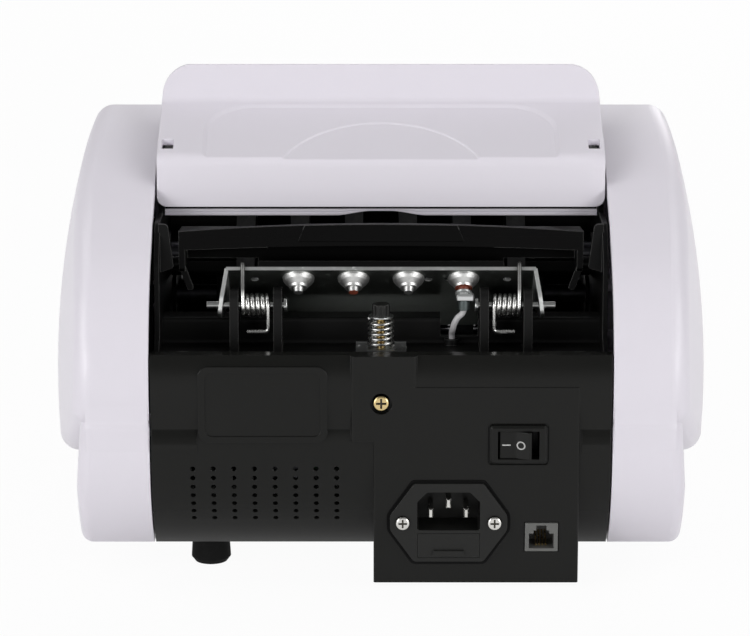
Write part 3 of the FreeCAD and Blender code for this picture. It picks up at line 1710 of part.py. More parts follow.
def count_sleeves():
    half = count_sleeve / 2
    sleeves = []
    for x in count_sleeve_x:
        profile = [(shaft_radius, x - half), (count_radius - 1, x - half), (count_radius, x - half + 1),
                   (count_radius, x + half - 1), (count_radius - 1, x + half), (shaft_radius, x + half)]
        sleeves.append(turned_profile(profile, count_y, count_z))
    return group(sleeves)


def shaft_bushes():
    bushes = []
    for y, z in ((feed_y, feed_z), (count_y, count_z), (stacker_y, stacker_z)):
        bore = shaft_radius + running_fit
        inner = frame_inner - bush_flange
        profile = [(bore, inner), (bush_flange_radius, inner), (bush_flange_radius, frame_inner),
                   (bush_radius, frame_inner), (bush_radius, frame_outer), (bore, frame_outer)]
        bush = turned_profile(profile, y, z)
        bushes += [bush, mirrored(bush)]
    return group(bushes)


def belt_plane(index):
    """Left and right x of a belt track outside the left frame."""
    outer = -frame_outer - pulley_gap - index * (belt_width + 3 * pulley_flange)
    return (outer - belt_width, outer)


def pulley_profile(radius, bore, plane):
    rim = radius + pulley_rim
    return [(bore, plane[0] - pulley_flange), (rim, plane[0] - pulley_flange), (radius, plane[0]),
            (radius, plane[1]), (rim, plane[1] + pulley_flange), (bore, plane[1] + pulley_flange)]


def pulley(radius, bore, y, z, plane):
    return turned_profile(pulley_profile(radius, bore, plane), y, z)


def feed_pulley():
    first = pulley(feed_pulley_radius, shaft_radius, feed_y, feed_z, belt_plane(0))
    second = pulley(feed_second_radius, shaft_radius, feed_y, feed_z, belt_plane(1))
    left = belt_plane(1)[0]
    right = belt_plane(0)[1]
    ring = shaft_radius + 3
    profile = [(shaft_radius, left), (ring, left), (ring, right), (shaft_radius, right)]
    sleeve = turned_profile(profile, feed_y, feed_z)
    return join([first, second, sleeve])


def motor_rotor():
    wheel = pulley(motor_pulley_radius, motor_shaft, motor_y, motor_z, belt_plane(0))
    start = belt_plane(0)[0] - pulley_flange
    return join([wheel, rod_x(motor_shaft, start, -frame_inner + 12, motor_y, motor_z)])


def motor():
    left = -frame_inner
    can = rod_x(motor_radius, left, left + motor_length, motor_y, motor_z)
    can = can.makeFillet(3, [edge for edge in can.Edges if edge.BoundBox.XMin > left + motor_length - 1])
    tail = rod_x(motor_radius / 3, left + motor_length - 1, left + motor_length + 4, motor_y, motor_z)
    body = join([can, tail])
    return body.cut(rod_x(motor_shaft + running_fit, left - 1, left + 13, motor_y, motor_z))


def hull_wire(x, wheels, grow):
    """Closed line round wheels listed counter-clockwise in side view."""
    count = len(wheels)
    normals = []
    for index in range(count):
        y0, z0, r0 = wheels[index]
        y1, z1, r1 = wheels[(index + 1) % count]
        apart = math.hypot(y1 - y0, z1 - z0)
        bearing = math.degrees(math.atan2(z1 - z0, y1 - y0))
        normals.append(bearing - math.degrees(math.acos((r0 - r1) / apart)))
    edges = []
    for index in range(count):
        y, z, radius = wheels[index]
        start = normals[index - 1]
        end = normals[index]
        while end < start:
            end += 360
        edges.append(round_arc(x, (y, z), radius + grow, start, end))
        y1, z1, r1 = wheels[(index + 1) % count]
        leave = side_point(x, polar((y, z), radius + grow, normals[index]))
        arrive = side_point(x, polar((y1, z1), r1 + grow, normals[index]))
        edges.append(Part.LineSegment(leave, arrive).toShape())
    return Part.Wire(edges)


def belt(wheels, plane):
    gap = clearance / 2
    outer = Part.Face(hull_wire(plane[0] + gap, wheels, belt_thick + gap))
    inner = Part.Face(hull_wire(plane[0] + gap, wheels, gap))
    return along_x(outer.cut(inner), belt_width - 2 * gap)


def drive_belt():
    wheels = [(motor_y, motor_z, motor_pulley_radius), (stacker_y, stacker_z, stacker_pulley_radius),
              (feed_y, feed_z, feed_pulley_radius)]
    return belt(wheels, belt_plane(0))


def count_belt():
    wheels = [(count_y, count_z, count_pulley_radius), (feed_y, feed_z, feed_second_radius)]
    return belt(wheels, belt_plane(1))


def shaft_end(plane):
    return plane[0] - pulley_flange


# Boards inside

def main_board():
    low = base_top_z + standoff
    sheet = span_box((-board_half, board_half), (board_rear_y, board_front_y), (low, low + board_sheet))
    posts = [rod_z(standoff_radius, base_top_z, low, x, y)
             for x in (-board_half + 6, board_half - 6) for y in (board_rear_y + 6, board_front_y - 6)]
    top = low + board_sheet
    chips = [span_box((-30, -10), (-12, 8), (top, top + 2)), span_box((10, 22), (-20, -4), (top, top + 3))]
    socket_y = (board_rear_y + 2, board_rear_y + 9)
    sockets = [span_box((x, x + 14), socket_y, (top, top + 8)) for x in (-60, -40, 30, 50)]
    cans = [rod_z(5, top, top + 7, x, 14) for x in (36, 50, 64)]
    return join([sheet] + posts + chips + sockets + cans)


def transformer():
    half = transformer_half
    front = transformer_y + transformer_depth / 2
    rear = transformer_y - transformer_depth / 2
    top = base_top_z + transformer_height
    core = span_box((transformer_x - half, transformer_x + half), (rear + 8, front - 8), (base_top_z, top))
    inner = half - 9
    left = transformer_x - inner
    coil = upright_block(left, left + 2 * inner, base_top_z + 6, top - 6, rear, front, 4)
    return join([core, coil])


def write_parts():
    cover = side_cover()
    guide = hopper_guide()
    spring = torsion_spring()
    solids = {
        "base_plate": base_plate(),
        "feet": feet(),
        "side_cover_right": cover,
        "side_cover_left": mirrored(cover),
        "side_frame_right": side_frame(False),
        "side_frame_left": mirrored(side_frame(True)),
        "rear_cover": rear_cover(),
        "rear_cover_screw": rear_cover_screw(),
        "hopper_plate": hopper_plate(),
        "hopper_pins": hopper_pins(),
        "hopper_gate": hopper_gate(),
        "hopper_tray": hopper_tray(),
        "hopper_guide_right": guide,
        "hopper_guide_left": mirrored(guide),
        "feed_shaft": plain_shaft(feed_y, feed_z, shaft_end(belt_plane(1)), frame_outer + 1),
        "feed_wheels": feed_wheels(),
        "feed_pulley": feed_pulley(),
        "friction_bracket": friction_bracket(),
        "friction_pads": friction_pads(),
        "bracket_screws": bracket_screws(),
        "pivot_pins": pivot_pins(),
        "torsion_spring_right": spring,
        "torsion_spring_left": mirrored(spring),
        "guide_bar": guide_bar(),
        "mechanism_floor": mechanism_floor(),
        "seat_clip": seat_clip(),
        "adjuster_washer": adjuster_washer(),
        "adjuster_knob": adjuster_knob(),
        "adjuster_screw": adjuster_screw(),
        "adjuster_spring": adjuster_spring(),
        "ground_terminal": ground_terminal(),
        "ground_lead": ground_lead(),
        "mains_inlet": mains_inlet(),
        "inlet_pins": inlet_pins(),
        "inlet_screws": inlet_screws(),
        "fuse_drawer": fuse_drawer(),
        "switch_frame": switch_frame(),
        "switch_rocker": switch_rocker(),
        "display_jack": display_jack(),
        "jack_contacts": jack_contacts_group(),
        "front_panel": front_panel(),
        "display_window": display_window(),
        "note_guide": note_guide(),
        "stacker_plate": stacker_plate(),
        "stacker_shaft": plain_shaft(stacker_y, stacker_z, shaft_end(belt_plane(0)), frame_outer + 1),
        "stacker_wheels": stacker_wheels(),
        "stacker_pulley": pulley(stacker_pulley_radius, shaft_radius, stacker_y, stacker_z, belt_plane(0)),
        "count_shaft": plain_shaft(count_y, count_z, shaft_end(belt_plane(1)), frame_outer + 1),
        "count_sleeves": count_sleeves(),
        "count_pulley": pulley(count_pulley_radius, shaft_radius, count_y, count_z, belt_plane(1)),
        "shaft_bushes": shaft_bushes(),
        "motor": motor(),
        "motor_rotor": motor_rotor(),
        "drive_belt": drive_belt(),
        "count_belt": count_belt(),
        "main_board": main_board(),
        "transformer": transformer(),
    }
    for index, (x, u) in enumerate(key_places()):
        solids["key_%d" % (index + 1)] = key_cap(x, u)
    os.makedirs("parts", exist_ok=True)
    for name, shape in solids.items():
        shape.exportStep("parts/%s.step" % name)
    print(len(solids), "nodes")


write_parts()
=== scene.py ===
import math

import bmesh
import bpy
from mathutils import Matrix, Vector
from mathutils.bvhtree import BVHTree


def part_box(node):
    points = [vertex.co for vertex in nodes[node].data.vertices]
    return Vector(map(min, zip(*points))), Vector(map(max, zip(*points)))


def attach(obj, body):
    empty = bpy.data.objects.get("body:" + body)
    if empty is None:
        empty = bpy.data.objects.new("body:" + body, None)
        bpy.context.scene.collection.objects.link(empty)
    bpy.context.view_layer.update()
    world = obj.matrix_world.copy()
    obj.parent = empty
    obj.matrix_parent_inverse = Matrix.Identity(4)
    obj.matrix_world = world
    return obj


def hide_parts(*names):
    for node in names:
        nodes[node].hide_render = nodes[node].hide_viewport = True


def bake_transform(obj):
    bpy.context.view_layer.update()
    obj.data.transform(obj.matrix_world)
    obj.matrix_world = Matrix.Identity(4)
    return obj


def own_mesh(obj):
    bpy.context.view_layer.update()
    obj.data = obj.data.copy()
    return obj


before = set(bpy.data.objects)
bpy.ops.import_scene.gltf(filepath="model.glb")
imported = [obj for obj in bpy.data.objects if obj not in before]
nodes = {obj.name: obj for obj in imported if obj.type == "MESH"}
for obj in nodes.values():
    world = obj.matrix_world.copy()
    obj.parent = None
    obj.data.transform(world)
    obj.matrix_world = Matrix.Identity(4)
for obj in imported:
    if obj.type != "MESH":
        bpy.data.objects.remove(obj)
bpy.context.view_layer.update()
MM = 0.001

# The friction bracket's rear edge in millimetres, its sheet and its slope
BRACKET_EDGE = Vector((0.0, -85.4, 121.0))
BRACKET_SHEET = 1.5
SLOPE_SIN = math.sin(math.radians(40.0))
SLOPE_COS = math.cos(math.radians(40.0))


def placed(name, data):
    """A new object in the scene, at the origin."""
    made = bpy.data.objects.new(name, data)
    bpy.context.collection.objects.link(made)
    return made


# Shader trees written as sums

class Value:
    """A socket of a tree. Sums on it add Math nodes."""

    def __init__(self, tree, socket):
        self.tree = tree
        self.socket = socket

    def maths(self, operation, first, second):
        return self.tree.node("ShaderNodeMath", {"operation": operation}, {0: first, 1: second})

    def __add__(self, other):
        return self.maths("ADD", self, other)

    def __radd__(self, other):
        return self.maths("ADD", other, self)

    def __sub__(self, other):
        return self.maths("SUBTRACT", self, other)

    def __rsub__(self, other):
        return self.maths("SUBTRACT", other, self)

    def __mul__(self, other):
        return self.maths("MULTIPLY", self, other)

    def __rmul__(self, other):
        return self.maths("MULTIPLY", other, self)

    def above(self, level):
        return self.maths("GREATER_THAN", self, level)

    def below(self, level):
        return self.maths("LESS_THAN", self, level)

    def size(self):
        return self.maths("ABSOLUTE", self, 0.0)


class Tree:
    """A node tree with one method that adds any node."""

    def __init__(self, tree):
        self.tree = tree

    def add(self, kind, settings=None, sockets=None):
        made = self.tree.nodes.new(kind)
        for name, value in (settings or {}).items():
            setattr(made, name, value)
        for name, value in (sockets or {}).items():
            self.feed(made.inputs[name], value)
        return made

    def node(self, kind, settings=None, sockets=None, out=0):
        """One output of a new node."""
        return Value(self, self.add(kind, settings, sockets).outputs[out])

    def feed(self, socket, value):
        if isinstance(value, Value):
            self.tree.links.new(value.socket, socket)
        else:
            socket.default_value = value

    def ramp(self, factor, low, high):
        """0 below low, 1 above high, straight between."""
        return self.node("ShaderNodeMapRange", {}, {"Value": factor, "From Min": low, "From Max": high})

    def part(self, vector, name):
        """One coordinate of a vector."""
        return self.node("ShaderNodeSeparateXYZ", {}, {"Vector": vector}, name)


class Finish(Tree):
    """A material on Object coordinates, with helpers for what most surfaces share."""

    BEVEL_SAMPLES = 6
    CORNER_TURN = (0.07, 0.20)

    def __init__(self, name):
        self.material = bpy.data.materials.new(name)
        self.material.use_nodes = True
        super().__init__(self.material.node_tree)
        self.shader = self.tree.nodes["Principled BSDF"]
        self.place = self.node("ShaderNodeTexCoord", out="Object")

    def set(self, **values):
        for name, value in values.items():
            self.feed(self.shader.inputs[name.replace("_", " ")], value)

    def noise(self, scale, detail=3.0, rough=0.55, stretch=None):
        place = self.place
        if stretch:
            place = self.node("ShaderNodeMapping", {}, {"Vector": place, "Scale": stretch})
        sockets = {"Vector": place, "Scale": scale, "Detail": detail, "Roughness": rough}
        return self.node("ShaderNodeTexNoise", {}, sockets, "Fac")

    def blend(self, factor, first, second):
        return self.node("ShaderNodeMix", {"data_type": "RGBA"}, {0: factor, 6: first, 7: second}, 2)

    def heading(self):
        """The surface's own heading."""
        return self.node("ShaderNodeNewGeometry", out="Normal")

    def eased(self, edge):
        """The surface's heading with its corners rounded by a small radius."""
        return self.node("ShaderNodeBevel", {"samples": self.BEVEL_SAMPLES}, {"Radius": edge})

    def corner(self, eased):
        """1 along the corners that the rounding changes."""
        sockets = {0: eased, 1: self.heading()}
        alike = self.node("ShaderNodeVectorMath", {"operation": "DOT_PRODUCT"}, sockets, "Value")
        return self.ramp(1.0 - alike, *self.CORNER_TURN)

    def bump(self, height, strength, depth, eased=None):
        sockets = {"Height": height, "Strength": strength, "Distance": depth}
        if eased:
            sockets["Normal"] = eased
        self.set(Normal=self.node("ShaderNodeBump", {}, sockets))

    def axis(self, name):
        """One coordinate of the surface point, in metres."""
        return self.part(self.place, name)


def tone(red, green, blue):
    return (red, green, blue, 1.0)


def grey(level):
    return tone(level, level, level)


# The middle of a noise's range
EVEN = 0.5
COAT_ROUGH = 0.12
GRAIN_DEPTH = 0.2 * MM
RUB_SHARE = 0.4


def moulded(name, colour, shade, rough, spread, gloss=0.5, coat=0.0, grain=1600.0, relief=0.06,
            edge=0.4 * MM, edge_highlight=None, where=None):
    """Injection moulded plastic: cloudy tone, fine spark-eroded grain, faint handling marks, eased corners.

    The corners carry a painted highlight, a lighter tone where that is given, on all of them or on those that
    a mask names.
    """
    skin = Finish(name)
    cloud = skin.noise(scale=9.0, detail=3.0)
    fine = skin.noise(scale=grain, detail=2.0)
    rub = skin.ramp(skin.noise(scale=60.0, detail=6.0, rough=0.7), low=0.55, high=0.75)
    eased = skin.eased(edge)
    plain = skin.blend(skin.ramp(cloud, low=0.3, high=0.7), colour, shade)
    # Painted highlight: a lighter tone laid along the corners
    if edge_highlight:
        mask = skin.corner(eased) * (EVEN + fine)
        plain = skin.blend(mask * where(skin) if where else mask, plain, edge_highlight)
    skin.set(Base_Color=plain)
    skin.set(Roughness=rough + spread * (cloud - EVEN) + RUB_SHARE * spread * rub + spread * (fine - EVEN))
    skin.set(Specular_IOR_Level=gloss, Coat_Weight=coat, Coat_Roughness=COAT_ROUGH)
    skin.bump(fine, relief, GRAIN_DEPTH, eased)
    return skin.material


# Painted shade: the dark tone laid on the spring hooks above a height, and how far it takes to fade in
HOOK_SHADE_TONE = tone(0.08, 0.08, 0.078)
HOOK_SHADE_FADE = 3.0 * MM
# Painted shade in a screw's recess: its tone, and the depths over which it comes in
RECESS_SHADE_TONE = tone(0.06, 0.055, 0.045)
RECESS_START = 0.1 * MM
RECESS_END = 0.4 * MM
# Faces turned further down than this carry painted shade where a tone for it is given
LOOKS_DOWN = -0.4
LINE_DEPTH = 0.1 * MM
# What drawn lines, clouds, spots and the painted shade on spring hooks add to a plating's roughness, and what
# spots take from its metal
LINE_ROUGH = 0.14
CLOUD_ROUGH = 0.10
SPOT_ROUGH = 0.18
HOOK_SHADE_ROUGH = 0.2
SPOT_METAL = 0.15


def plated(name, colour, shade, rough, stretch, strength=0.12, edge=0.15 * MM, painted_dark=None, face=None,
           underside_shade=None):
    """Plated metal: drawn lines along one way, cloudy passivation and small matt spots.

    Painted shade makes it darker above a given height, on faces that look down where a tone for them is
    given, and in the recess sunk into a screw's rear face.
    """
    skin = Finish(name)
    lines = skin.noise(scale=900.0, detail=3.0, rough=0.6, stretch=stretch)
    cloud = skin.noise(scale=110.0, detail=4.0)
    spots = skin.ramp(skin.noise(scale=420.0, detail=2.0), low=0.64, high=0.72)
    plain = skin.blend(skin.ramp(cloud, low=0.35, high=0.7), colour, shade)
    dullness = rough + LINE_ROUGH * (lines - EVEN) + CLOUD_ROUGH * cloud + SPOT_ROUGH * spots
    # Painted shade: darker above the given height
    if painted_dark:
        hook_shade = skin.ramp(skin.axis("Z"), painted_dark, painted_dark + HOOK_SHADE_FADE) * (0.8 + 0.2 * cloud)
        plain = skin.blend(hook_shade, plain, HOOK_SHADE_TONE)
        dullness = dullness + HOOK_SHADE_ROUGH * hook_shade
    # Painted shade: a dark tone on faces that look down
    if underside_shade:
        plain = skin.blend(skin.part(skin.heading(), "Z").below(LOOKS_DOWN), plain, underside_shade)
    # Painted shade: a dark tone deeper than the screw's rear face, in its recess
    if face:
        recess = skin.ramp(skin.axis("Y"), face + RECESS_START, face + RECESS_END)
        plain = skin.blend(recess, plain, RECESS_SHADE_TONE)
    skin.set(Base_Color=plain, Metallic=1.0 - SPOT_METAL * spots, Roughness=dullness)
    skin.bump(lines, strength, LINE_DEPTH, skin.eased(edge))
    return skin.material


# The cup screws that carry lacquer: X, and the lacquer's upper end, square to the bracket from its edge
SEALED_SCREWS = ((-11.0 * MM, -6.3 * MM), (33.0 * MM, -4.5 * MM))
SCREW_REACH = 6.0 * MM
LACQUER_RAGGED = 0.8 * MM


def sealed_screw_zinc():
    """Zinc cup screws. The tips of the second and fourth carry red-brown thread lacquer."""
    skin = Finish("sealed_screw_zinc")
    cloud = skin.noise(scale=160.0, detail=4.0)
    ragged = skin.noise(scale=1500.0, detail=3.0)
    forward = skin.axis("Y") - BRACKET_EDGE.y * MM
    upward = skin.axis("Z") - BRACKET_EDGE.z * MM
    level = SLOPE_SIN * forward + SLOPE_COS * upward + LACQUER_RAGGED * (ragged - EVEN)
    tips = []
    for x, top in SEALED_SCREWS:
        tips.append((skin.axis("X") - x).size().below(SCREW_REACH) * level.below(top))
    sealed = tips[0] + tips[1]
    zinc = skin.blend(skin.ramp(cloud, low=0.35, high=0.7), tone(0.78, 0.78, 0.77), tone(0.60, 0.60, 0.59))
    lacquer = skin.blend(ragged, tone(0.24, 0.050, 0.024), tone(0.13, 0.028, 0.014))
    skin.set(Base_Color=skin.blend(sealed, zinc, lacquer))
    skin.set(Metallic=1.0 - sealed, Roughness=0.36 + 0.12 * cloud + 0.1 * sealed)
    skin.bump(ragged, strength=0.1, depth=0.2 * MM, eased=skin.eased(0.2 * MM))
    return skin.material


CRIMP_TOP = 109.3 * MM


def terminal_tin():
    """A tinned ring whose crimp is laid darker, a painted dark reflection."""
    skin = Finish("terminal_tin")
    cloud = skin.noise(scale=260.0, detail=4.0)
    # Painted reflection: below its top the crimp is laid dark
    crimp = skin.axis("Z").below(CRIMP_TOP)
    bright = skin.blend(cloud, tone(0.80, 0.81, 0.80), tone(0.62, 0.63, 0.63))
    painted_dark = skin.blend(cloud, tone(0.16, 0.18, 0.18), tone(0.08, 0.10, 0.10))
    skin.set(Base_Color=skin.blend(crimp, bright, painted_dark), Metallic=0.9)
    skin.set(Roughness=0.22 + 0.16 * cloud + 0.06 * crimp)
    skin.bump(cloud, strength=0.3, depth=0.3 * MM, eased=skin.eased(0.2 * MM))
    return skin.material


def rubbery(name, colour, shade, rough=0.75):
    """Rubber: matt, dusty and slightly pitted."""
    skin = Finish(name)
    pits = skin.noise(scale=1300.0, detail=4.0, rough=0.65)
    dust = skin.ramp(skin.noise(scale=160.0, detail=5.0, rough=0.65), low=0.45, high=0.75)
    skin.set(Base_Color=skin.blend(dust, colour, shade))
    skin.set(Roughness=rough + 0.12 * (pits - EVEN), Specular_IOR_Level=0.15)
    skin.bump(pits, strength=0.25, depth=0.2 * MM, eased=skin.eased(0.3 * MM))
    return skin.material


def smoked_window():
    """Dark clear plastic with a few smears."""
    skin = Finish("smoked_window")
    smear = skin.noise(scale=70.0, detail=5.0, rough=0.6)
    skin.set(Base_Color=skin.blend(smear, tone(0.004, 0.007, 0.006), tone(0.012, 0.017, 0.015)))
    skin.set(Roughness=0.08 + 0.1 * smear, Coat_Weight=0.6, Coat_Roughness=0.05)
    return skin.material


def circuit_board():
    """Green board with a net of tracks."""
    skin = Finish("circuit_board")
    cells = skin.node("ShaderNodeTexBrick", {}, {
        "Vector": skin.place, "Scale": 260.0, "Mortar Size": 0.03,
        "Color1": tone(0.012, 0.10, 0.04), "Color2": tone(0.010, 0.085, 0.035),
        "Mortar": tone(0.03, 0.19, 0.08),
    })
    cloud = skin.noise(scale=40.0)
    skin.set(Base_Color=skin.blend(0.25 * cloud, cells, tone(0.02, 0.14, 0.06)))
    skin.set(Roughness=0.35 + 0.2 * cloud)
    return skin.material


def laminated_core():
    """The stacked iron sheets of a transformer."""
    skin = Finish("laminated_core")
    sheets = skin.node("ShaderNodeTexWave", {"bands_direction": "Y"}, {
        "Vector": skin.place, "Scale": 320.0, "Distortion": 0.6, "Detail": 2.0,
    }, "Fac")
    skin.set(Base_Color=skin.blend(sheets, tone(0.03, 0.03, 0.034), tone(0.12, 0.11, 0.10)))
    skin.set(Metallic=0.6, Roughness=0.45 + 0.25 * sheets)
    skin.bump(sheets, strength=0.3, depth=0.3 * MM)
    return skin.material


def mark_paint():
    """The pale paint of the switch's dash and ring, with a little wear."""
    skin = Finish("mark_paint")
    wear = skin.noise(scale=900.0, detail=3.0)
    skin.set(Base_Color=skin.blend(wear, tone(0.50, 0.50, 0.49), tone(0.38, 0.38, 0.37)))
    skin.set(Roughness=0.5 + 0.2 * wear)
    return skin.material


BAR_CREST_Z = 137.0 * MM
BAR_PANEL_HALF = 45.0 * MM


def bar_rim(skin):
    """1 on the guide bar's outer rim, 0 on the raised panel in its middle."""
    rim = skin.axis("X").size().above(BAR_PANEL_HALF) + skin.axis("Z").above(BAR_CREST_Z)
    return rim.above(0.5)


ALONG_X = (0.05, 1.0, 1.0)
ALONG_Z = (1.0, 1.0, 0.05)
# The height above which the spring wire carries painted shade
HOOK_SHADE_Z = 111.0 * MM
# Painted edge highlights: lighter tones laid along the corners of black parts
BLACK_EDGE_HIGHLIGHT = tone(0.110, 0.110, 0.106)
TRIM_EDGE_HIGHLIGHT = tone(0.030, 0.030, 0.028)

white_shell = moulded(
    "white_shell", tone(0.735, 0.705, 0.765), tone(0.722, 0.692, 0.753), rough=0.36, spread=0.03, coat=0.08,
    grain=1900.0, relief=0.03, edge=0.6 * MM)
black_shell = moulded(
    "black_shell", tone(0.0068, 0.0070, 0.0063), tone(0.0084, 0.0084, 0.0077), rough=0.19, spread=0.03,
    gloss=0.19, edge=0.3 * MM, edge_highlight=tone(0.020, 0.020, 0.019))
black_inner = moulded(
    "black_inner", grey(0.0040), tone(0.0065, 0.0065, 0.0062), rough=0.40, spread=0.10, gloss=0.22,
    edge_highlight=BLACK_EDGE_HIGHLIGHT)
black_bar = moulded(
    "black_bar", grey(0.0012), grey(0.0020), rough=0.30, spread=0.08, gloss=0.07, edge=0.5 * MM,
    edge_highlight=BLACK_EDGE_HIGHLIGHT, where=bar_rim)
socket_black = moulded(
    "socket_black", tone(0.0090, 0.0093, 0.0085), tone(0.0115, 0.0115, 0.0108), rough=0.38, spread=0.10,
    gloss=0.26, grain=2400.0, relief=0.12, edge=0.2 * MM, edge_highlight=TRIM_EDGE_HIGHLIGHT)
switch_black = moulded(
    "switch_black", tone(0.0060, 0.0062, 0.0056), tone(0.0080, 0.0080, 0.0074), rough=0.34, spread=0.10,
    gloss=0.20, grain=2400.0, relief=0.08, edge=0.3 * MM, edge_highlight=TRIM_EDGE_HIGHLIGHT)
black_enamel = moulded(
    "black_enamel", grey(0.002), grey(0.004), rough=0.42, spread=0.12, gloss=0.14, grain=900.0, relief=0.10,
    edge_highlight=BLACK_EDGE_HIGHLIGHT)
knob_black = moulded(
    "knob_black", tone(0.009, 0.009, 0.0085), tone(0.013, 0.013, 0.012), rough=0.40, spread=0.10, gloss=0.25,
    relief=0.08, edge_highlight=BLACK_EDGE_HIGHLIGHT)
grey_housing = moulded(
    "grey_housing", tone(0.105, 0.106, 0.102), tone(0.125, 0.126, 0.12), rough=0.45, spread=0.08, gloss=0.4)
dark_wheel = moulded(
    "dark_wheel", tone(0.05, 0.053, 0.06), tone(0.07, 0.073, 0.08), rough=0.45, spread=0.1)
white_sleeve = moulded(
    "white_sleeve", tone(0.56, 0.55, 0.56), tone(0.46, 0.45, 0.46), rough=0.38, spread=0.08)
grey_key = moulded(
    "grey_key", tone(0.17, 0.18, 0.22), tone(0.20, 0.21, 0.25), rough=0.45, spread=0.08)

bright_zinc = plated(
    "bright_zinc", tone(0.70, 0.71, 0.70), tone(0.52, 0.53, 0.52), rough=0.24, stretch=ALONG_X)
# Its faces that look down carry a painted shade
bracket_zinc = plated(
    "bracket_zinc", tone(0.80, 0.81, 0.80), tone(0.62, 0.63, 0.62), rough=0.36, stretch=ALONG_X,
    underside_shade=tone(0.22, 0.235, 0.22))
nickel = plated(
    "nickel", tone(0.80, 0.79, 0.76), tone(0.66, 0.65, 0.62), rough=0.18, stretch=ALONG_X, strength=0.05)
head_nickel = plated(
    "head_nickel", tone(0.80, 0.79, 0.76), tone(0.66, 0.65, 0.62), rough=0.22, stretch=ALONG_X, strength=0.05,
    face=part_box("inlet_screws")[0].y)
cover_brass = plated(
    "cover_brass", tone(0.80, 0.62, 0.30), tone(0.66, 0.52, 0.27), rough=0.24, stretch=ALONG_Z, strength=0.08,
    face=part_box("rear_cover_screw")[0].y)
dark_steel = plated(
    "dark_steel", tone(0.10, 0.10, 0.11), tone(0.06, 0.06, 0.065), rough=0.34, stretch=ALONG_X)
can_steel = plated(
    "can_steel", tone(0.10, 0.10, 0.11), tone(0.07, 0.07, 0.08), rough=0.45, stretch=ALONG_X)
spring_wire = plated(
    "spring_wire", tone(0.70, 0.70, 0.68), tone(0.50, 0.50, 0.49), rough=0.22, stretch=ALONG_Z, strength=0.05,
    painted_dark=HOOK_SHADE_Z)
yellow_zinc = plated(
    "yellow_zinc", tone(0.74, 0.55, 0.24), tone(0.60, 0.46, 0.22), rough=0.22, stretch=ALONG_Z)
gold_flash = plated(
    "gold_flash", tone(0.82, 0.62, 0.28), tone(0.66, 0.47, 0.20), rough=0.2, stretch=ALONG_Z, strength=0.05)

grey_tyre = rubbery("grey_tyre", tone(0.040, 0.040, 0.041), grey(0.060))
pad_rubber = rubbery("pad_rubber", tone(0.006, 0.0065, 0.006), tone(0.012, 0.0125, 0.012), rough=0.6)
black_foot = rubbery("black_foot", grey(0.0025), grey(0.005))
# Painted shadow: the near-black of strips laid where gaps are in shade
seal_rubber = rubbery("seal_rubber", grey(0.0012), grey(0.0022))
black_belt = rubbery("black_belt", grey(0.015), grey(0.03), rough=0.6)
switch_mark = mark_paint()
tag_tin = terminal_tin()

FINISHES = {
    white_shell: [
        "side_cover_left", "side_cover_right", "hopper_plate", "hopper_gate", "hopper_tray",
        "hopper_guide_left", "hopper_guide_right", "front_panel",
    ],
    black_shell: ["rear_cover"],
    black_bar: ["guide_bar"],
    black_inner: ["mechanism_floor", "stacker_plate", "note_guide", "shaft_bushes"],
    knob_black: ["adjuster_knob"],
    socket_black: ["mains_inlet", "fuse_drawer"],
    switch_black: ["switch_frame", "switch_rocker"],
    grey_housing: ["display_jack"],
    black_enamel: ["side_frame_left", "side_frame_right"],
    bracket_zinc: ["friction_bracket"],
    bright_zinc: ["base_plate", "pivot_pins", "hopper_pins", "seat_clip", "adjuster_washer"],
    sealed_screw_zinc(): ["bracket_screws"],
    tag_tin: ["ground_terminal"],
    nickel: ["inlet_pins"],
    head_nickel: ["inlet_screws"],
    cover_brass: ["rear_cover_screw"],
    dark_steel: ["feed_shaft", "count_shaft", "stacker_shaft"],
    spring_wire: ["torsion_spring_left", "torsion_spring_right", "adjuster_spring"],
    yellow_zinc: ["adjuster_screw"],
    gold_flash: ["jack_contacts"],
    grey_tyre: ["feed_wheels", "count_sleeves"],
    pad_rubber: ["friction_pads"],
    black_foot: ["feet"],
    black_belt: ["drive_belt", "count_belt"],
    dark_wheel: ["feed_pulley", "count_pulley", "stacker_pulley", "stacker_wheels", "motor_rotor"],
    white_sleeve: ["ground_lead"],
    grey_key: ["key_1", "key_2", "key_3"],
    can_steel: ["motor"],
    smoked_window(): ["display_window"],
    circuit_board(): ["main_board"],
    laminated_core(): ["transformer"],
}

for finish, names in FINISHES.items():
    for name in names:
        mesh = nodes[name].data
        mesh.materials.clear()
        mesh.materials.append(finish)


# Trees that make wires and threads

class Maker(Tree):
    """A Geometry Nodes tree with named sizes."""

    def __init__(self, name, sizes):
        group = bpy.data.node_groups.new(name, "GeometryNodeTree")
        super().__init__(group)
        group.interface.new_socket("Geometry", in_out="INPUT", socket_type="NodeSocketGeometry")
        self.keys = {}
        for label, kind in {**sizes, "Finish": "NodeSocketMaterial"}.items():
            made = group.interface.new_socket(label, in_out="INPUT", socket_type=kind)
            self.keys[label] = made.identifier
        group.interface.new_socket("Geometry", in_out="OUTPUT", socket_type="NodeSocketGeometry")
        self.start = self.add("NodeGroupInput")

    def given(self, label):
        return Value(self, self.start.outputs[label])

    def close(self, geometry):
        real = self.node("GeometryNodeRealizeInstances", {}, {"Geometry": geometry})
        dressed = self.node("GeometryNodeSetMaterial", {}, {
            "Geometry": real, "Material": self.given("Finish")})
        self.add("NodeGroupOutput", {}, {"Geometry": dressed})

    def make(self, name, mesh, **sizes):
        piece = placed(name, mesh)
        modifier = piece.modifiers.new("maker", "NODES")
        modifier.node_group = self.tree
        for label, value in sizes.items():
            modifier[self.keys[label]] = value
        graph = bpy.context.evaluated_depsgraph_get()
        made = bpy.data.meshes.new_from_object(piece.evaluated_get(graph))
        piece.modifiers.clear()
        piece.data = made
        made.name = name
        return piece


# A wire's sides have four corners, so a face with this many or more is a flat end
END_CORNERS = 5


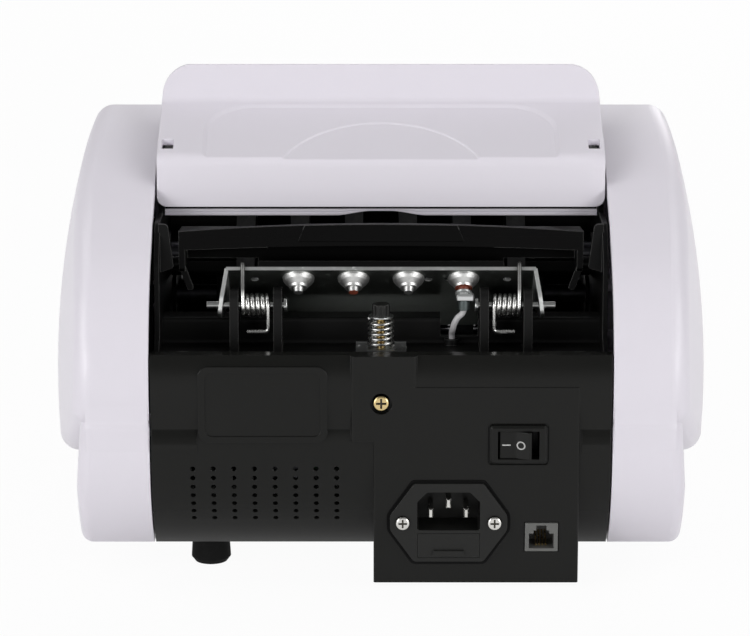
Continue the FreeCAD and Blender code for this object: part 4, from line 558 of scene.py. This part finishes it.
def wire_maker():
    """A round wire along a line of edges, smooth but for its flat ends."""
    tree = Maker("round_wire", {"Radius": "NodeSocketFloat", "Sides": "NodeSocketInt"})
    line = tree.node("GeometryNodeMeshToCurve", {}, {"Mesh": tree.given("Geometry")})
    ring = tree.node("GeometryNodeCurvePrimitiveCircle", {}, {
        "Resolution": tree.given("Sides"), "Radius": tree.given("Radius")})
    tube = tree.node("GeometryNodeCurveToMesh", {}, {
        "Curve": line, "Profile Curve": ring, "Fill Caps": True})
    corners = tree.node("GeometryNodeInputMeshFaceNeighbors", {}, {}, "Vertex Count")
    tree.close(tree.node("GeometryNodeSetShadeSmooth", {}, {
        "Geometry": tube, "Selection": corners.below(END_CORNERS), "Shade Smooth": True}))
    return tree


THREAD_POINTS_A_TURN = 32
THREAD_SIDES = 4


def thread_maker():
    """A ridge that climbs round an upright rod."""
    tree = Maker("screw_thread", {
        "Turns": "NodeSocketFloat", "Pitch": "NodeSocketFloat", "Radius": "NodeSocketFloat",
        "Depth": "NodeSocketFloat", "Start": "NodeSocketVector"})
    spiral = tree.node("GeometryNodeCurveSpiral", {}, {
        "Resolution": THREAD_POINTS_A_TURN, "Rotations": tree.given("Turns"),
        "Start Radius": tree.given("Radius"), "End Radius": tree.given("Radius"),
        "Height": tree.given("Turns") * tree.given("Pitch")})
    upright = tree.node("GeometryNodeSetCurveNormal", {"mode": "Z_UP"}, {"Curve": spiral})
    crest = tree.node("GeometryNodeCurvePrimitiveCircle", {}, {
        "Resolution": THREAD_SIDES, "Radius": tree.given("Depth")})
    ridge = tree.node("GeometryNodeCurveToMesh", {}, {
        "Curve": upright, "Profile Curve": crest, "Fill Caps": True})
    tree.close(tree.node("GeometryNodeTransform", {}, {
        "Geometry": ridge, "Translation": tree.given("Start")}))
    return tree


LINE_ORDER = 3


def smooth_line(name, points, steps):
    """A smooth line near these points, as a mesh of edges."""
    curve = bpy.data.curves.new(name, "CURVE")
    curve.dimensions = "3D"
    curve.resolution_u = steps
    spline = curve.splines.new("NURBS")
    spline.points.add(len(points) - 1)
    for point, place in zip(spline.points, points):
        point.co = (*(Vector(place) * MM), 1.0)
    spline.order_u = LINE_ORDER
    spline.use_endpoint_u = True
    line = placed(name, curve)
    graph = bpy.context.evaluated_depsgraph_get()
    mesh = bpy.data.meshes.new_from_object(line.evaluated_get(graph))
    bpy.data.objects.remove(line)
    return mesh


round_wire = wire_maker()
screw_thread = thread_maker()


# Springs, lead, thread and switch marks. From here on sizes and places are in millimetres.

POINTS_A_TURN = 24
COIL_STEPS = 3
COIL_SIDES = 14

PIVOT = Vector((0.0, -85.0, 106.6))
COIL_RADIUS = 3.9
COIL_WIRE_FULL = 1.76
COIL_INNER_X = 45.0
COIL_OUTER_X = 55.1
COIL_TURNS = 5
HOOK_LEAN = 10.0
HOOK_EASE = 4.0
HOOK_TAIL = 7.0
HOOK_CLEAR = 0.05
HOOK_LIFT = BRACKET_SHEET + HOOK_CLEAR + COIL_WIRE_FULL / 2
LEG_FOOT_Z = 96.6
LEG_END_X = 53.4
LEG_EASE = 2.8


def eased_corner(before, corner, after, ease):
    """The three points that round a corner within the given distance of it."""
    corner = Vector(corner)
    back = (Vector(before) - corner).normalized() * ease
    ahead = (Vector(after) - corner).normalized() * ease
    return [corner + back, corner, corner + ahead]


def torsion_route(side):
    """Hook over the bracket's edge, coil round the pivot pin, leg down to the floor."""
    start = 180.0 - HOOK_LEAN
    end = 180.0 + 360.0 * COIL_TURNS
    count = COIL_TURNS * POINTS_A_TURN
    coil = []
    for index in range(count + 1):
        share = index / count
        turn = math.radians(start + (end - start) * share)
        x = COIL_OUTER_X + (COIL_INNER_X - COIL_OUTER_X) * share
        y = PIVOT.y + COIL_RADIUS * math.cos(turn)
        coil.append(Vector((x, y, PIVOT.z + COIL_RADIUS * math.sin(turn))))
    slope = Vector((0.0, SLOPE_COS, -SLOPE_SIN))
    normal = Vector((0.0, SLOPE_SIN, SLOPE_COS))
    edge = Vector((COIL_OUTER_X, BRACKET_EDGE.y, BRACKET_EDGE.z)) + normal * HOOK_LIFT
    lean = math.radians(start)
    up = Vector((0.0, math.sin(lean), -math.cos(lean)))
    reach = (edge - coil[0]).dot(normal) / up.dot(normal)
    corner = coil[0] + up * reach
    tip = corner + slope * HOOK_TAIL
    knee = Vector((COIL_INNER_X, coil[-1].y, LEG_FOOT_Z))
    foot = Vector((LEG_END_X, coil[-1].y, LEG_FOOT_Z))
    hook = [tip] + eased_corner(tip, corner, coil[0], HOOK_EASE)
    leg = eased_corner(coil[-1], knee, foot, LEG_EASE) + [foot]
    return [Vector((side * place.x, place.y, place.z)) for place in hook + coil + leg]


def add_torsion_spring(side, name, node):
    line = smooth_line(name, torsion_route(side), COIL_STEPS)
    spring = round_wire.make(
        name, line, Radius=COIL_WIRE_FULL / 2 * MM, Sides=COIL_SIDES, Finish=spring_wire)
    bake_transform(spring)
    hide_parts(node)


ADJUSTER_Y = -88.0
SPRING_RADIUS = 4.7
SPRING_WIRE = 1.1
SPRING_TURNS = 5.5
SPRING_CLEAR = 0.05
SPRING_SEAT_Z = 90.0
WASHER_BOTTOM_Z = 102.5


def add_adjuster_spring():
    low = SPRING_SEAT_Z + SPRING_WIRE / 2 + SPRING_CLEAR
    high = WASHER_BOTTOM_Z - SPRING_WIRE / 2 - SPRING_CLEAR
    count = int(SPRING_TURNS * POINTS_A_TURN)
    route = []
    for index in range(count + 1):
        share = index / count
        turn = math.radians(360.0 * SPRING_TURNS * share)
        route.append((SPRING_RADIUS * math.cos(turn), ADJUSTER_Y + SPRING_RADIUS * math.sin(turn),
                      low + (high - low) * share))
    line = smooth_line("adjuster_coil", route, COIL_STEPS)
    spring = round_wire.make(
        "adjuster_coil", line, Radius=SPRING_WIRE / 2 * MM, Sides=COIL_SIDES, Finish=spring_wire)
    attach(spring, "body")
    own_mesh(spring)
    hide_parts("adjuster_spring")


THREAD_PITCH = 0.7
THREAD_DEPTH = 0.34
THREAD_START_Z = 90.4
THREAD_TURNS = 14.5
SCREW_RADIUS = 1.6


def add_thread():
    start = Vector((0.0, ADJUSTER_Y, THREAD_START_Z)) * MM
    thread = screw_thread.make(
        "adjuster_thread", bpy.data.meshes.new("thread"), Turns=THREAD_TURNS, Pitch=THREAD_PITCH * MM,
        Radius=SCREW_RADIUS * MM, Depth=THREAD_DEPTH * MM, Start=start, Finish=yellow_zinc)
    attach(thread, "body")


LEAD_TOP = Vector((33.0, -86.4, 105.1))
LEAD_FOOT = Vector((28.5, -79.0, 89.8))
LEAD_BENDS = [
    (32.7, -86.5, 103.4), (30.8, -86.6, 102.2), (29.3, -86.2, 99.6), (28.7, -84.4, 96.4), (28.5, -80.6, 94.6),
    (28.5, -79.0, 92.4),
]
LEAD_RADIUS = 1.2
LEAD_STEPS = 10
LEAD_SIDES = 20


def add_ground_lead():
    """The short lead leaves the crimp, swings to the left and sinks into its grommet."""
    line = smooth_line("bonding_lead", [LEAD_TOP] + LEAD_BENDS + [LEAD_FOOT], LEAD_STEPS)
    lead = round_wire.make(
        "bonding_lead", line, Radius=LEAD_RADIUS * MM, Sides=LEAD_SIDES, Finish=white_sleeve)
    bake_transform(lead)
    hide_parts("ground_lead")


RAY_START_Y = -500.0


def rear_skin(node):
    """A node's surface, for laying things on its rear face."""
    mesh = nodes[node].data
    return BVHTree.FromPolygons([v.co for v in mesh.vertices], [p.vertices for p in mesh.polygons])


def laid_on(skin, x, z, proud):
    """The point of a rear skin behind x and z, in metres, and as far out from it as told."""
    hit = skin.ray_cast(Vector((x * MM, RAY_START_Y * MM, z * MM)), Vector((0.0, 1.0, 0.0)))
    return hit[0] - Vector((0.0, proud * MM, 0.0))


MARK_Z = 59.0
DASH_X = 49.1
DASH_LENGTH = 3.3
DASH_STEPS = 8
RING_X = 54.8
RING_RADIUS = 1.45
RING_STEPS = 40
STROKE = 0.5
PAINT = 0.06


def laid_strip(name, skin, pairs, closed, film, finish, body):
    """A thin strip between two lines of points on a rear face."""
    corners = [laid_on(skin, x, z, film / 2) for pair in pairs for x, z in pair]
    count = len(pairs)
    faces = []
    for index in range(count if closed else count - 1):
        low = 2 * index
        high = 2 * ((index + 1) % count)
        faces.append((low, high, high + 1, low + 1))
    mesh = bpy.data.meshes.new(name)
    mesh.from_pydata(corners, [], faces)
    mesh.materials.append(finish)
    strip = placed(name, mesh)
    wall = strip.modifiers.new("film", "SOLIDIFY")
    wall.thickness = film * MM
    wall.offset = 0.0
    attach(strip, body)


def add_switch_marks():
    """The plain dash and ring on the rocker."""
    skin = rear_skin("switch_rocker")
    half = STROKE / 2
    dash = []
    for index in range(DASH_STEPS + 1):
        x = DASH_X + DASH_LENGTH * (index / DASH_STEPS - 0.5)
        dash.append(((x, MARK_Z - half), (x, MARK_Z + half)))
    laid_strip("switch_dash", skin, dash, False, PAINT, switch_mark, "rocker")
    ring = []
    for index in range(RING_STEPS):
        turn = 2 * math.pi * index / RING_STEPS
        inner, outer = RING_RADIUS - half, RING_RADIUS + half
        ring.append(((RING_X + inner * math.cos(turn), MARK_Z + inner * math.sin(turn)),
                     (RING_X + outer * math.cos(turn), MARK_Z + outer * math.sin(turn))))
    laid_strip("switch_ring", skin, ring, True, PAINT, switch_mark, "rocker")


# Small fixed forms that the source leaves out

SHARP_ANGLE = math.radians(30.0)


def lofted_bar(name, sections, finish, body, ring=False):
    """A closed skin through like sections that stand one after the other, and back to the first in a ring."""
    size = len(sections[0])
    corners = [Vector(place) * MM for section in sections for place in section]
    faces = []
    for index in range(len(sections) - (0 if ring else 1)):
        low = index * size
        high = (index + 1) % len(sections) * size
        for step in range(size):
            after = (step + 1) % size
            faces.append((low + step, low + after, high + after, high + step))
    if not ring:
        faces.append(tuple(reversed(range(size))))
        faces.append(tuple(range(len(corners) - size, len(corners))))
    mesh = bpy.data.meshes.new(name)
    mesh.from_pydata(corners, [], faces)
    shape = bmesh.new()
    shape.from_mesh(mesh)
    bmesh.ops.recalc_face_normals(shape, faces=shape.faces)
    shape.to_mesh(mesh)
    shape.free()
    mesh.shade_smooth()
    mesh.set_sharp_from_angle(angle=SHARP_ANGLE)
    mesh.materials.append(finish)
    piece = placed(name, mesh)
    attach(piece, body)


def even_steps(first, last, count):
    """Places from first to last, both included."""
    return [first + (last - first) * index / count for index in range(count + 1)]


GATE_Y = -51.4
BEAD_HALF = 87.4
BEAD_TOP_Z = 140.7
BEAD_LOW_Z = 137.8
ARCH_OUTER = 18.5
ARCH_INNER = 3.8
ARCH_RISE = 1.9
ARCH_STEPS = 16
# Outline of the rolled edge: Y, and height as a share from the bottom to the top
BEAD_PROFILE = [
    (GATE_Y, 1.0), (-59.9, 1.0), (-60.3, 0.95), (-60.5, 0.83), (-60.5, 0.60), (-60.15, 0.52), (-60.15, 0.46),
    (-60.5, 0.38), (-60.5, 0.17), (-60.3, 0.05), (-59.9, 0.0), (GATE_Y, 0.0),
]


def bead_low(x):
    """Lower edge of the gate's bead, which rises over the middle in a flat arch."""
    share = (ARCH_OUTER - abs(x)) / (ARCH_OUTER - ARCH_INNER)
    share = min(max(share, 0.0), 1.0)
    return BEAD_LOW_Z + ARCH_RISE * share * share * (3.0 - 2.0 * share)


def add_gate_bead():
    """The rolled edge along the bottom of the hopper gate, with a groove along it."""
    arch = even_steps(ARCH_INNER, ARCH_OUTER, ARCH_STEPS)
    places = [-BEAD_HALF] + [-x for x in reversed(arch)] + arch + [BEAD_HALF]
    sections = []
    for x in places:
        low = bead_low(x)
        sections.append([(x, y, low + (BEAD_TOP_Z - low) * share) for y, share in BEAD_PROFILE])
    lofted_bar("gate_bead", sections, white_shell, "body")


# The black strip that paints the shadow in the gap under the hopper's lip
SHADOW_STRIP_INSET = 0.2
SHADOW_STRIP_HALF = BEAD_HALF - SHADOW_STRIP_INSET
SHADOW_STRIP_Y = (-60.1, -56.0)
SHADOW_STRIP_Z = (140.6, 141.7)


def add_gate_shadow_strip():
    """A black strip that paints the shadow in the gap between the hopper's lip and the gate."""
    rear, front = SHADOW_STRIP_Y
    low, high = SHADOW_STRIP_Z
    section = [(rear, low), (rear, high), (front, high), (front, low)]
    sections = [[(x, y, z) for y, z in section] for x in (-SHADOW_STRIP_HALF, SHADOW_STRIP_HALF)]
    lofted_bar("gate_shadow_strip", sections, seal_rubber, "body")


FAIRING_PLACES = (91.4, 94.0, 98.0, 102.0, 106.0, 110.0, 112.0, 113.5, 115.0, 116.2)
FAIRING_TOP_Z = 78.0
FAIRING_LOW_Z = 55.0
FAIRING_ROWS = 12
FAIRING_BACK_Y = -117.2
FAIRING_PROUD = -0.03
SKIRT_LIP_Z = (65.4, 66.6)
SKIRT_LIP = 0.45


def lip_stand(z):
    """How far the skirt stands out from the dome at a height: most at its upper lip, nothing above that."""
    crest, end = SKIRT_LIP_Z
    if z > crest:
        return SKIRT_LIP * max((end - z) / (end - crest), 0.0)
    return SKIRT_LIP * (z - FAIRING_LOW_Z) / (crest - FAIRING_LOW_Z)


def add_cover_fairing(side, node, name):
    """Closes the groove between a cover's dome and skirt on the rear face, with the skirt's low upper lip."""
    skin = rear_skin(node)
    heights = sorted(even_steps(FAIRING_LOW_Z, FAIRING_TOP_Z, FAIRING_ROWS) + list(SKIRT_LIP_Z))
    sections = []
    for reach in FAIRING_PLACES:
        x = side * reach
        high = laid_on(skin, x, FAIRING_TOP_Z, FAIRING_PROUD).y / MM
        low = laid_on(skin, x, FAIRING_LOW_Z, FAIRING_PROUD).y / MM
        section = []
        for z in heights:
            share = (z - FAIRING_LOW_Z) / (FAIRING_TOP_Z - FAIRING_LOW_Z)
            section.append((x, low + (high - low) * share - lip_stand(z), z))
        section += [(x, FAIRING_BACK_Y, FAIRING_TOP_Z), (x, FAIRING_BACK_Y, FAIRING_LOW_Z)]
        sections.append(section)
    lofted_bar(name, sections, white_shell, "body")


LEAN_LEFT_X = (-90.2, -72.3)
LEAN_RIGHT_X = (78.8, 90.2)
LEAN_LOW_Z = 54.4
LEAN_CREST_Z = 57.8
LEAN_TOP_Z = 64.6
LEAN_STAND = 0.5
LEAN_SUNK = 0.03
LEAN_ROWS = 8
LEAN_BACK_Y = -117.4


def add_cover_lean(name, ends):
    """The rear cover's skirt leans back a little more under the dome, beside the plate and beside the box."""
    skin = rear_skin("rear_cover")
    rise = LEAN_TOP_Z - LEAN_CREST_Z
    heights = [LEAN_LOW_Z] + even_steps(LEAN_CREST_Z, LEAN_TOP_Z, LEAN_ROWS)
    sections = []
    for x in ends:
        section = []
        for z in heights:
            stand = LEAN_STAND * (LEAN_TOP_Z - z) / rise if z >= LEAN_CREST_Z else 0.0
            section.append((x, laid_on(skin, x, z, stand - LEAN_SUNK).y / MM, z))
        section += [(x, LEAN_BACK_Y, LEAN_TOP_Z), (x, LEAN_BACK_Y, LEAN_LOW_Z)]
        sections.append(section)
    lofted_bar(name, sections, black_shell, "body")


INLET_X = 26.6
INLET_Z = 27.1
# The black ring that paints the shadow gap round the inlet's flange: its outline and depth
SHADOW_RING_FLAT = 14.4
SHADOW_RING_REACH = 24.4
SHADOW_RING_HALF = 17.3
SHADOW_RING_SIDE = 3.2
SHADOW_RING_EASE = 1.4
SHADOW_RING_WIDE = 2.4
SHADOW_RING_Y = (-120.75, -120.0)
EASE_STEPS = 4


def rounded_outline(corners, ease):
    """Corners of a flat outline, each eased by a short curve."""
    outline = []
    for index, corner in enumerate(corners):
        before, after = corners[index - 1], corners[(index + 1) % len(corners)]
        first, middle, last = eased_corner(before, corner, after, ease)
        for share in even_steps(0.0, 1.0, EASE_STEPS):
            outline.append(first.lerp(middle, share).lerp(middle.lerp(last, share), share))
    return outline


def shadow_ring_outline(inset):
    """X and Z of the shadow ring's eight-cornered outline, moved inwards by the inset."""
    flat, reach, high = SHADOW_RING_FLAT - inset / 2, SHADOW_RING_REACH - inset, SHADOW_RING_HALF - inset
    half = [(flat, high), (reach, SHADOW_RING_SIDE), (reach, -SHADOW_RING_SIDE), (flat, -high)]
    outline = rounded_outline(half + [(-x, -z) for x, z in half], SHADOW_RING_EASE)
    return [(INLET_X + x, INLET_Z + z) for x, z in outline]


def add_inlet_shadow_ring():
    """A black ring round the mains inlet's flange that paints the shadow gap there."""
    rear, front = SHADOW_RING_Y
    sections = []
    for outer, inner in zip(shadow_ring_outline(0.0), shadow_ring_outline(SHADOW_RING_WIDE)):
        sections.append([(outer[0], rear, outer[1]), (outer[0], front, outer[1]),
                         (inner[0], front, inner[1]), (inner[0], rear, inner[1])])
    lofted_bar("inlet_shadow_ring", sections, seal_rubber, "body", ring=True)


CARRIER_HALF = 49.0
CARRIER_START = 0.5
CARRIER_END = 15.0
CARRIER_CLEAR = 0.02
CARRIER_THICK = 2.9


def on_slope(x, along, up):
    """A point of the tilted bracket, from its rear edge forward and up from its lower face."""
    y = BRACKET_EDGE.y + along * SLOPE_COS + up * SLOPE_SIN
    return (x, y, BRACKET_EDGE.z - along * SLOPE_SIN + up * SLOPE_COS)


def add_pad_carrier():
    """Dark strip along the bracket's rear edge that ties the four friction pads together."""
    low = BRACKET_SHEET + CARRIER_CLEAR
    high = BRACKET_SHEET + CARRIER_THICK
    profile = [(CARRIER_START, low), (CARRIER_START, high), (CARRIER_END, high), (CARRIER_END, low)]
    sections = [[on_slope(x, along, up) for along, up in profile] for x in (-CARRIER_HALF, CARRIER_HALF)]
    lofted_bar("pad_carrier", sections, black_enamel, "bracket")


TAB_X = (29.9, 37.1)
TAB_Y = (-89.0, -84.8)
TAB_Z = (108.9, 111.6)
TAB_EASE = 0.5


def add_terminal_tab():
    """The bright folded tab over the crimp of the ground terminal."""
    left, right = TAB_X
    stations = ((left, TAB_EASE), (left + TAB_EASE, 0.0), (right - TAB_EASE, 0.0), (right, TAB_EASE))
    sections = []
    for x, inset in stations:
        rear, front = TAB_Y[0] + inset, TAB_Y[1] - inset
        low, high = TAB_Z[0] + inset, TAB_Z[1] - inset
        sections.append([(x, rear, low + TAB_EASE), (x, rear, high - TAB_EASE), (x, rear + TAB_EASE, high),
                         (x, front, high), (x, front, low), (x, rear + TAB_EASE, low)])
    lofted_bar("terminal_tab", sections, tag_tin, "bracket")


LIP_INNER_X = 43.5
LIP_END_GAP = 0.2
LIP_REAR_Y = 54.7
LIP_THICK = 1.8
LIP_RISE = 4.6
LIP_SUNK = 0.4
LIP_EASE = 0.5


def add_stacker_lips():
    """Low black walls on the stacker plate, outside the bladed wheels, that close the view through."""
    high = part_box("stacker_plate")[1]
    rear, front = LIP_REAR_Y, LIP_REAR_Y + LIP_THICK
    foot = high.z / MM - LIP_SUNK
    top = high.z / MM + LIP_RISE
    profile = [(rear, foot), (rear, top - LIP_EASE), (rear + LIP_EASE, top),
               (front - LIP_EASE, top), (front, top - LIP_EASE), (front, foot)]
    for side, name in ((-1, "stacker_lip_left"), (1, "stacker_lip_right")):
        ends = sorted((side * LIP_INNER_X, side * (high.x / MM - LIP_END_GAP)))
        sections = [[(x, y, z) for y, z in profile] for x in ends]
        lofted_bar(name, sections, black_inner, "body")


add_torsion_spring(1, "pivot_coil_right", "torsion_spring_right")
add_torsion_spring(-1, "pivot_coil_left", "torsion_spring_left")
add_adjuster_spring()
add_thread()
add_ground_lead()
add_switch_marks()
add_gate_bead()
add_gate_shadow_strip()
add_cover_fairing(1, "side_cover_right", "cover_fairing_right")
add_cover_fairing(-1, "side_cover_left", "cover_fairing_left")
add_cover_lean("cover_lean_left", LEAN_LEFT_X)
add_cover_lean("cover_lean_right", LEAN_RIGHT_X)
add_inlet_shadow_ring()
add_pad_carrier()
add_terminal_tab()
add_stacker_lips()


# Camera at the photo's angle, lamps, world and floor. From here on places are in metres.

CAMERA_TARGET = Vector((-2.4, -120.0, 110.0)) * MM
CAMERA_ELEVATION = math.radians(14.0)
CAMERA_DISTANCE = 1.25
CAMERA_SENSOR = 36.0
CAMERA_LENS = 154.4
CAMERA_FAR = 50.0


def build_camera():
    data = bpy.data.cameras.new("camera")
    data.sensor_width = CAMERA_SENSOR
    data.lens = CAMERA_LENS
    data.clip_end = CAMERA_FAR
    camera = placed("camera", data)
    look = Vector((0.0, math.cos(CAMERA_ELEVATION), -math.sin(CAMERA_ELEVATION)))
    camera.location = CAMERA_TARGET - look * CAMERA_DISTANCE
    camera.rotation_euler = (math.radians(90.0) - CAMERA_ELEVATION, 0.0, 0.0)
    bpy.context.scene.camera = camera


# Name, place, what it points at, width and height, watts
LAMPS = [
    ("left", (-1.7, -1.0, 0.85), (0, -0.05, 0.1), (1.0, 1.2), 13.5),
    ("right", (1.7, -1.0, 0.85), (0, -0.05, 0.1), (1.0, 1.2), 12.2),
    ("low_left", (-1.3, -1.8, 0.3), (0, -0.1, 0.1), (0.8, 0.5), 10.6),
    ("low_right", (1.3, -1.8, 0.3), (0, -0.1, 0.1), (0.8, 0.5), 10.0),
    ("top_left", (-0.9, 0.0, 1.6), (0, 0, 0.1), (0.9, 0.9), 4.4),
    ("top_right", (0.9, 0.0, 1.6), (0, 0, 0.1), (0.9, 0.9), 4.2),
    ("operator_side", (0.4, 1.9, 1.1), (0, 0.05, 0.1), (1.6, 1.0), 15.0),
]


def add_lamp(name, place, target, size, energy):
    data = bpy.data.lights.new(name, "AREA")
    data.shape = "RECTANGLE"
    data.size, data.size_y = size
    data.energy = energy
    lamp = placed(name, data)
    lamp.location = place
    lamp.rotation_euler = (Vector(target) - Vector(place)).to_track_quat("-Z", "Y").to_euler()


PURE_WHITE = grey(1.0)
WHITE_SHARE = 0.95
GLOSSY_SHARE = 0.60
WORLD_LEVEL = 0.55
WORLD_DROP = 0.38
# Shares of a heading, upwards and away from the camera, over which the world changes
HORIZON = (-0.02, 0.08)
BACKDROP = (0.1, 0.5)
FLOOR_HALF = 6.0


def backdrop_rays(tree):
    """Three values that are 1 for camera rays, for rays through glass and for reflections."""
    path = tree.add("ShaderNodeLightPath")
    names = ("Is Camera Ray", "Is Transmission Ray", "Is Glossy Ray")
    return [Value(tree, path.outputs[name]) for name in names]


def build_world():
    """A pale studio, dimmer above the horizon, with a white backdrop behind the machine."""
    world = bpy.data.worlds.new("studio")
    world.use_nodes = True
    bpy.context.scene.world = world
    tree = Tree(world.node_tree)
    seen, through, glossy = backdrop_rays(tree)
    heading = tree.node("ShaderNodeTexCoord", {}, {}, "Generated")
    soft = WORLD_LEVEL - WORLD_DROP * tree.ramp(tree.part(heading, "Z"), *HORIZON)
    white = seen + through + GLOSSY_SHARE * glossy * tree.ramp(tree.part(heading, "Y"), *BACKDROP)
    background = world.node_tree.nodes["Background"]
    tree.feed(background.inputs["Color"], PURE_WHITE)
    tree.feed(background.inputs["Strength"], soft + (1.0 - soft) * white)


def build_floor():
    """Pale paper that the camera sees as white, and that keeps the machine's shadow."""
    side = FLOOR_HALF
    corners = [(-side, -side, 0), (side, -side, 0), (side, side, 0), (-side, side, 0)]
    mesh = bpy.data.meshes.new("floor")
    mesh.from_pydata(corners, [], [(0, 1, 2, 3)])
    floor = placed("floor", mesh)
    paper = Finish("studio_paper")
    fibre = paper.noise(scale=300.0, detail=4.0)
    paper.set(Base_Color=paper.blend(fibre, grey(0.86), grey(0.88)), Roughness=0.9)
    seen, through, glossy = backdrop_rays(paper)
    glow = paper.node("ShaderNodeEmission", {}, {"Color": PURE_WHITE, "Strength": 1.0})
    lit = Value(paper, paper.shader.outputs[0])
    share = WHITE_SHARE * (seen + through) + GLOSSY_SHARE * glossy
    both = paper.node("ShaderNodeMixShader", {}, {0: share, 1: lit, 2: glow})
    paper.feed(paper.tree.nodes["Material Output"].inputs["Surface"], both)
    mesh.materials.append(paper.material)


build_camera()
for lamp in LAMPS:
    add_lamp(*lamp)
build_world()
build_floor()
bpy.context.scene.view_settings.view_transform = "Standard"
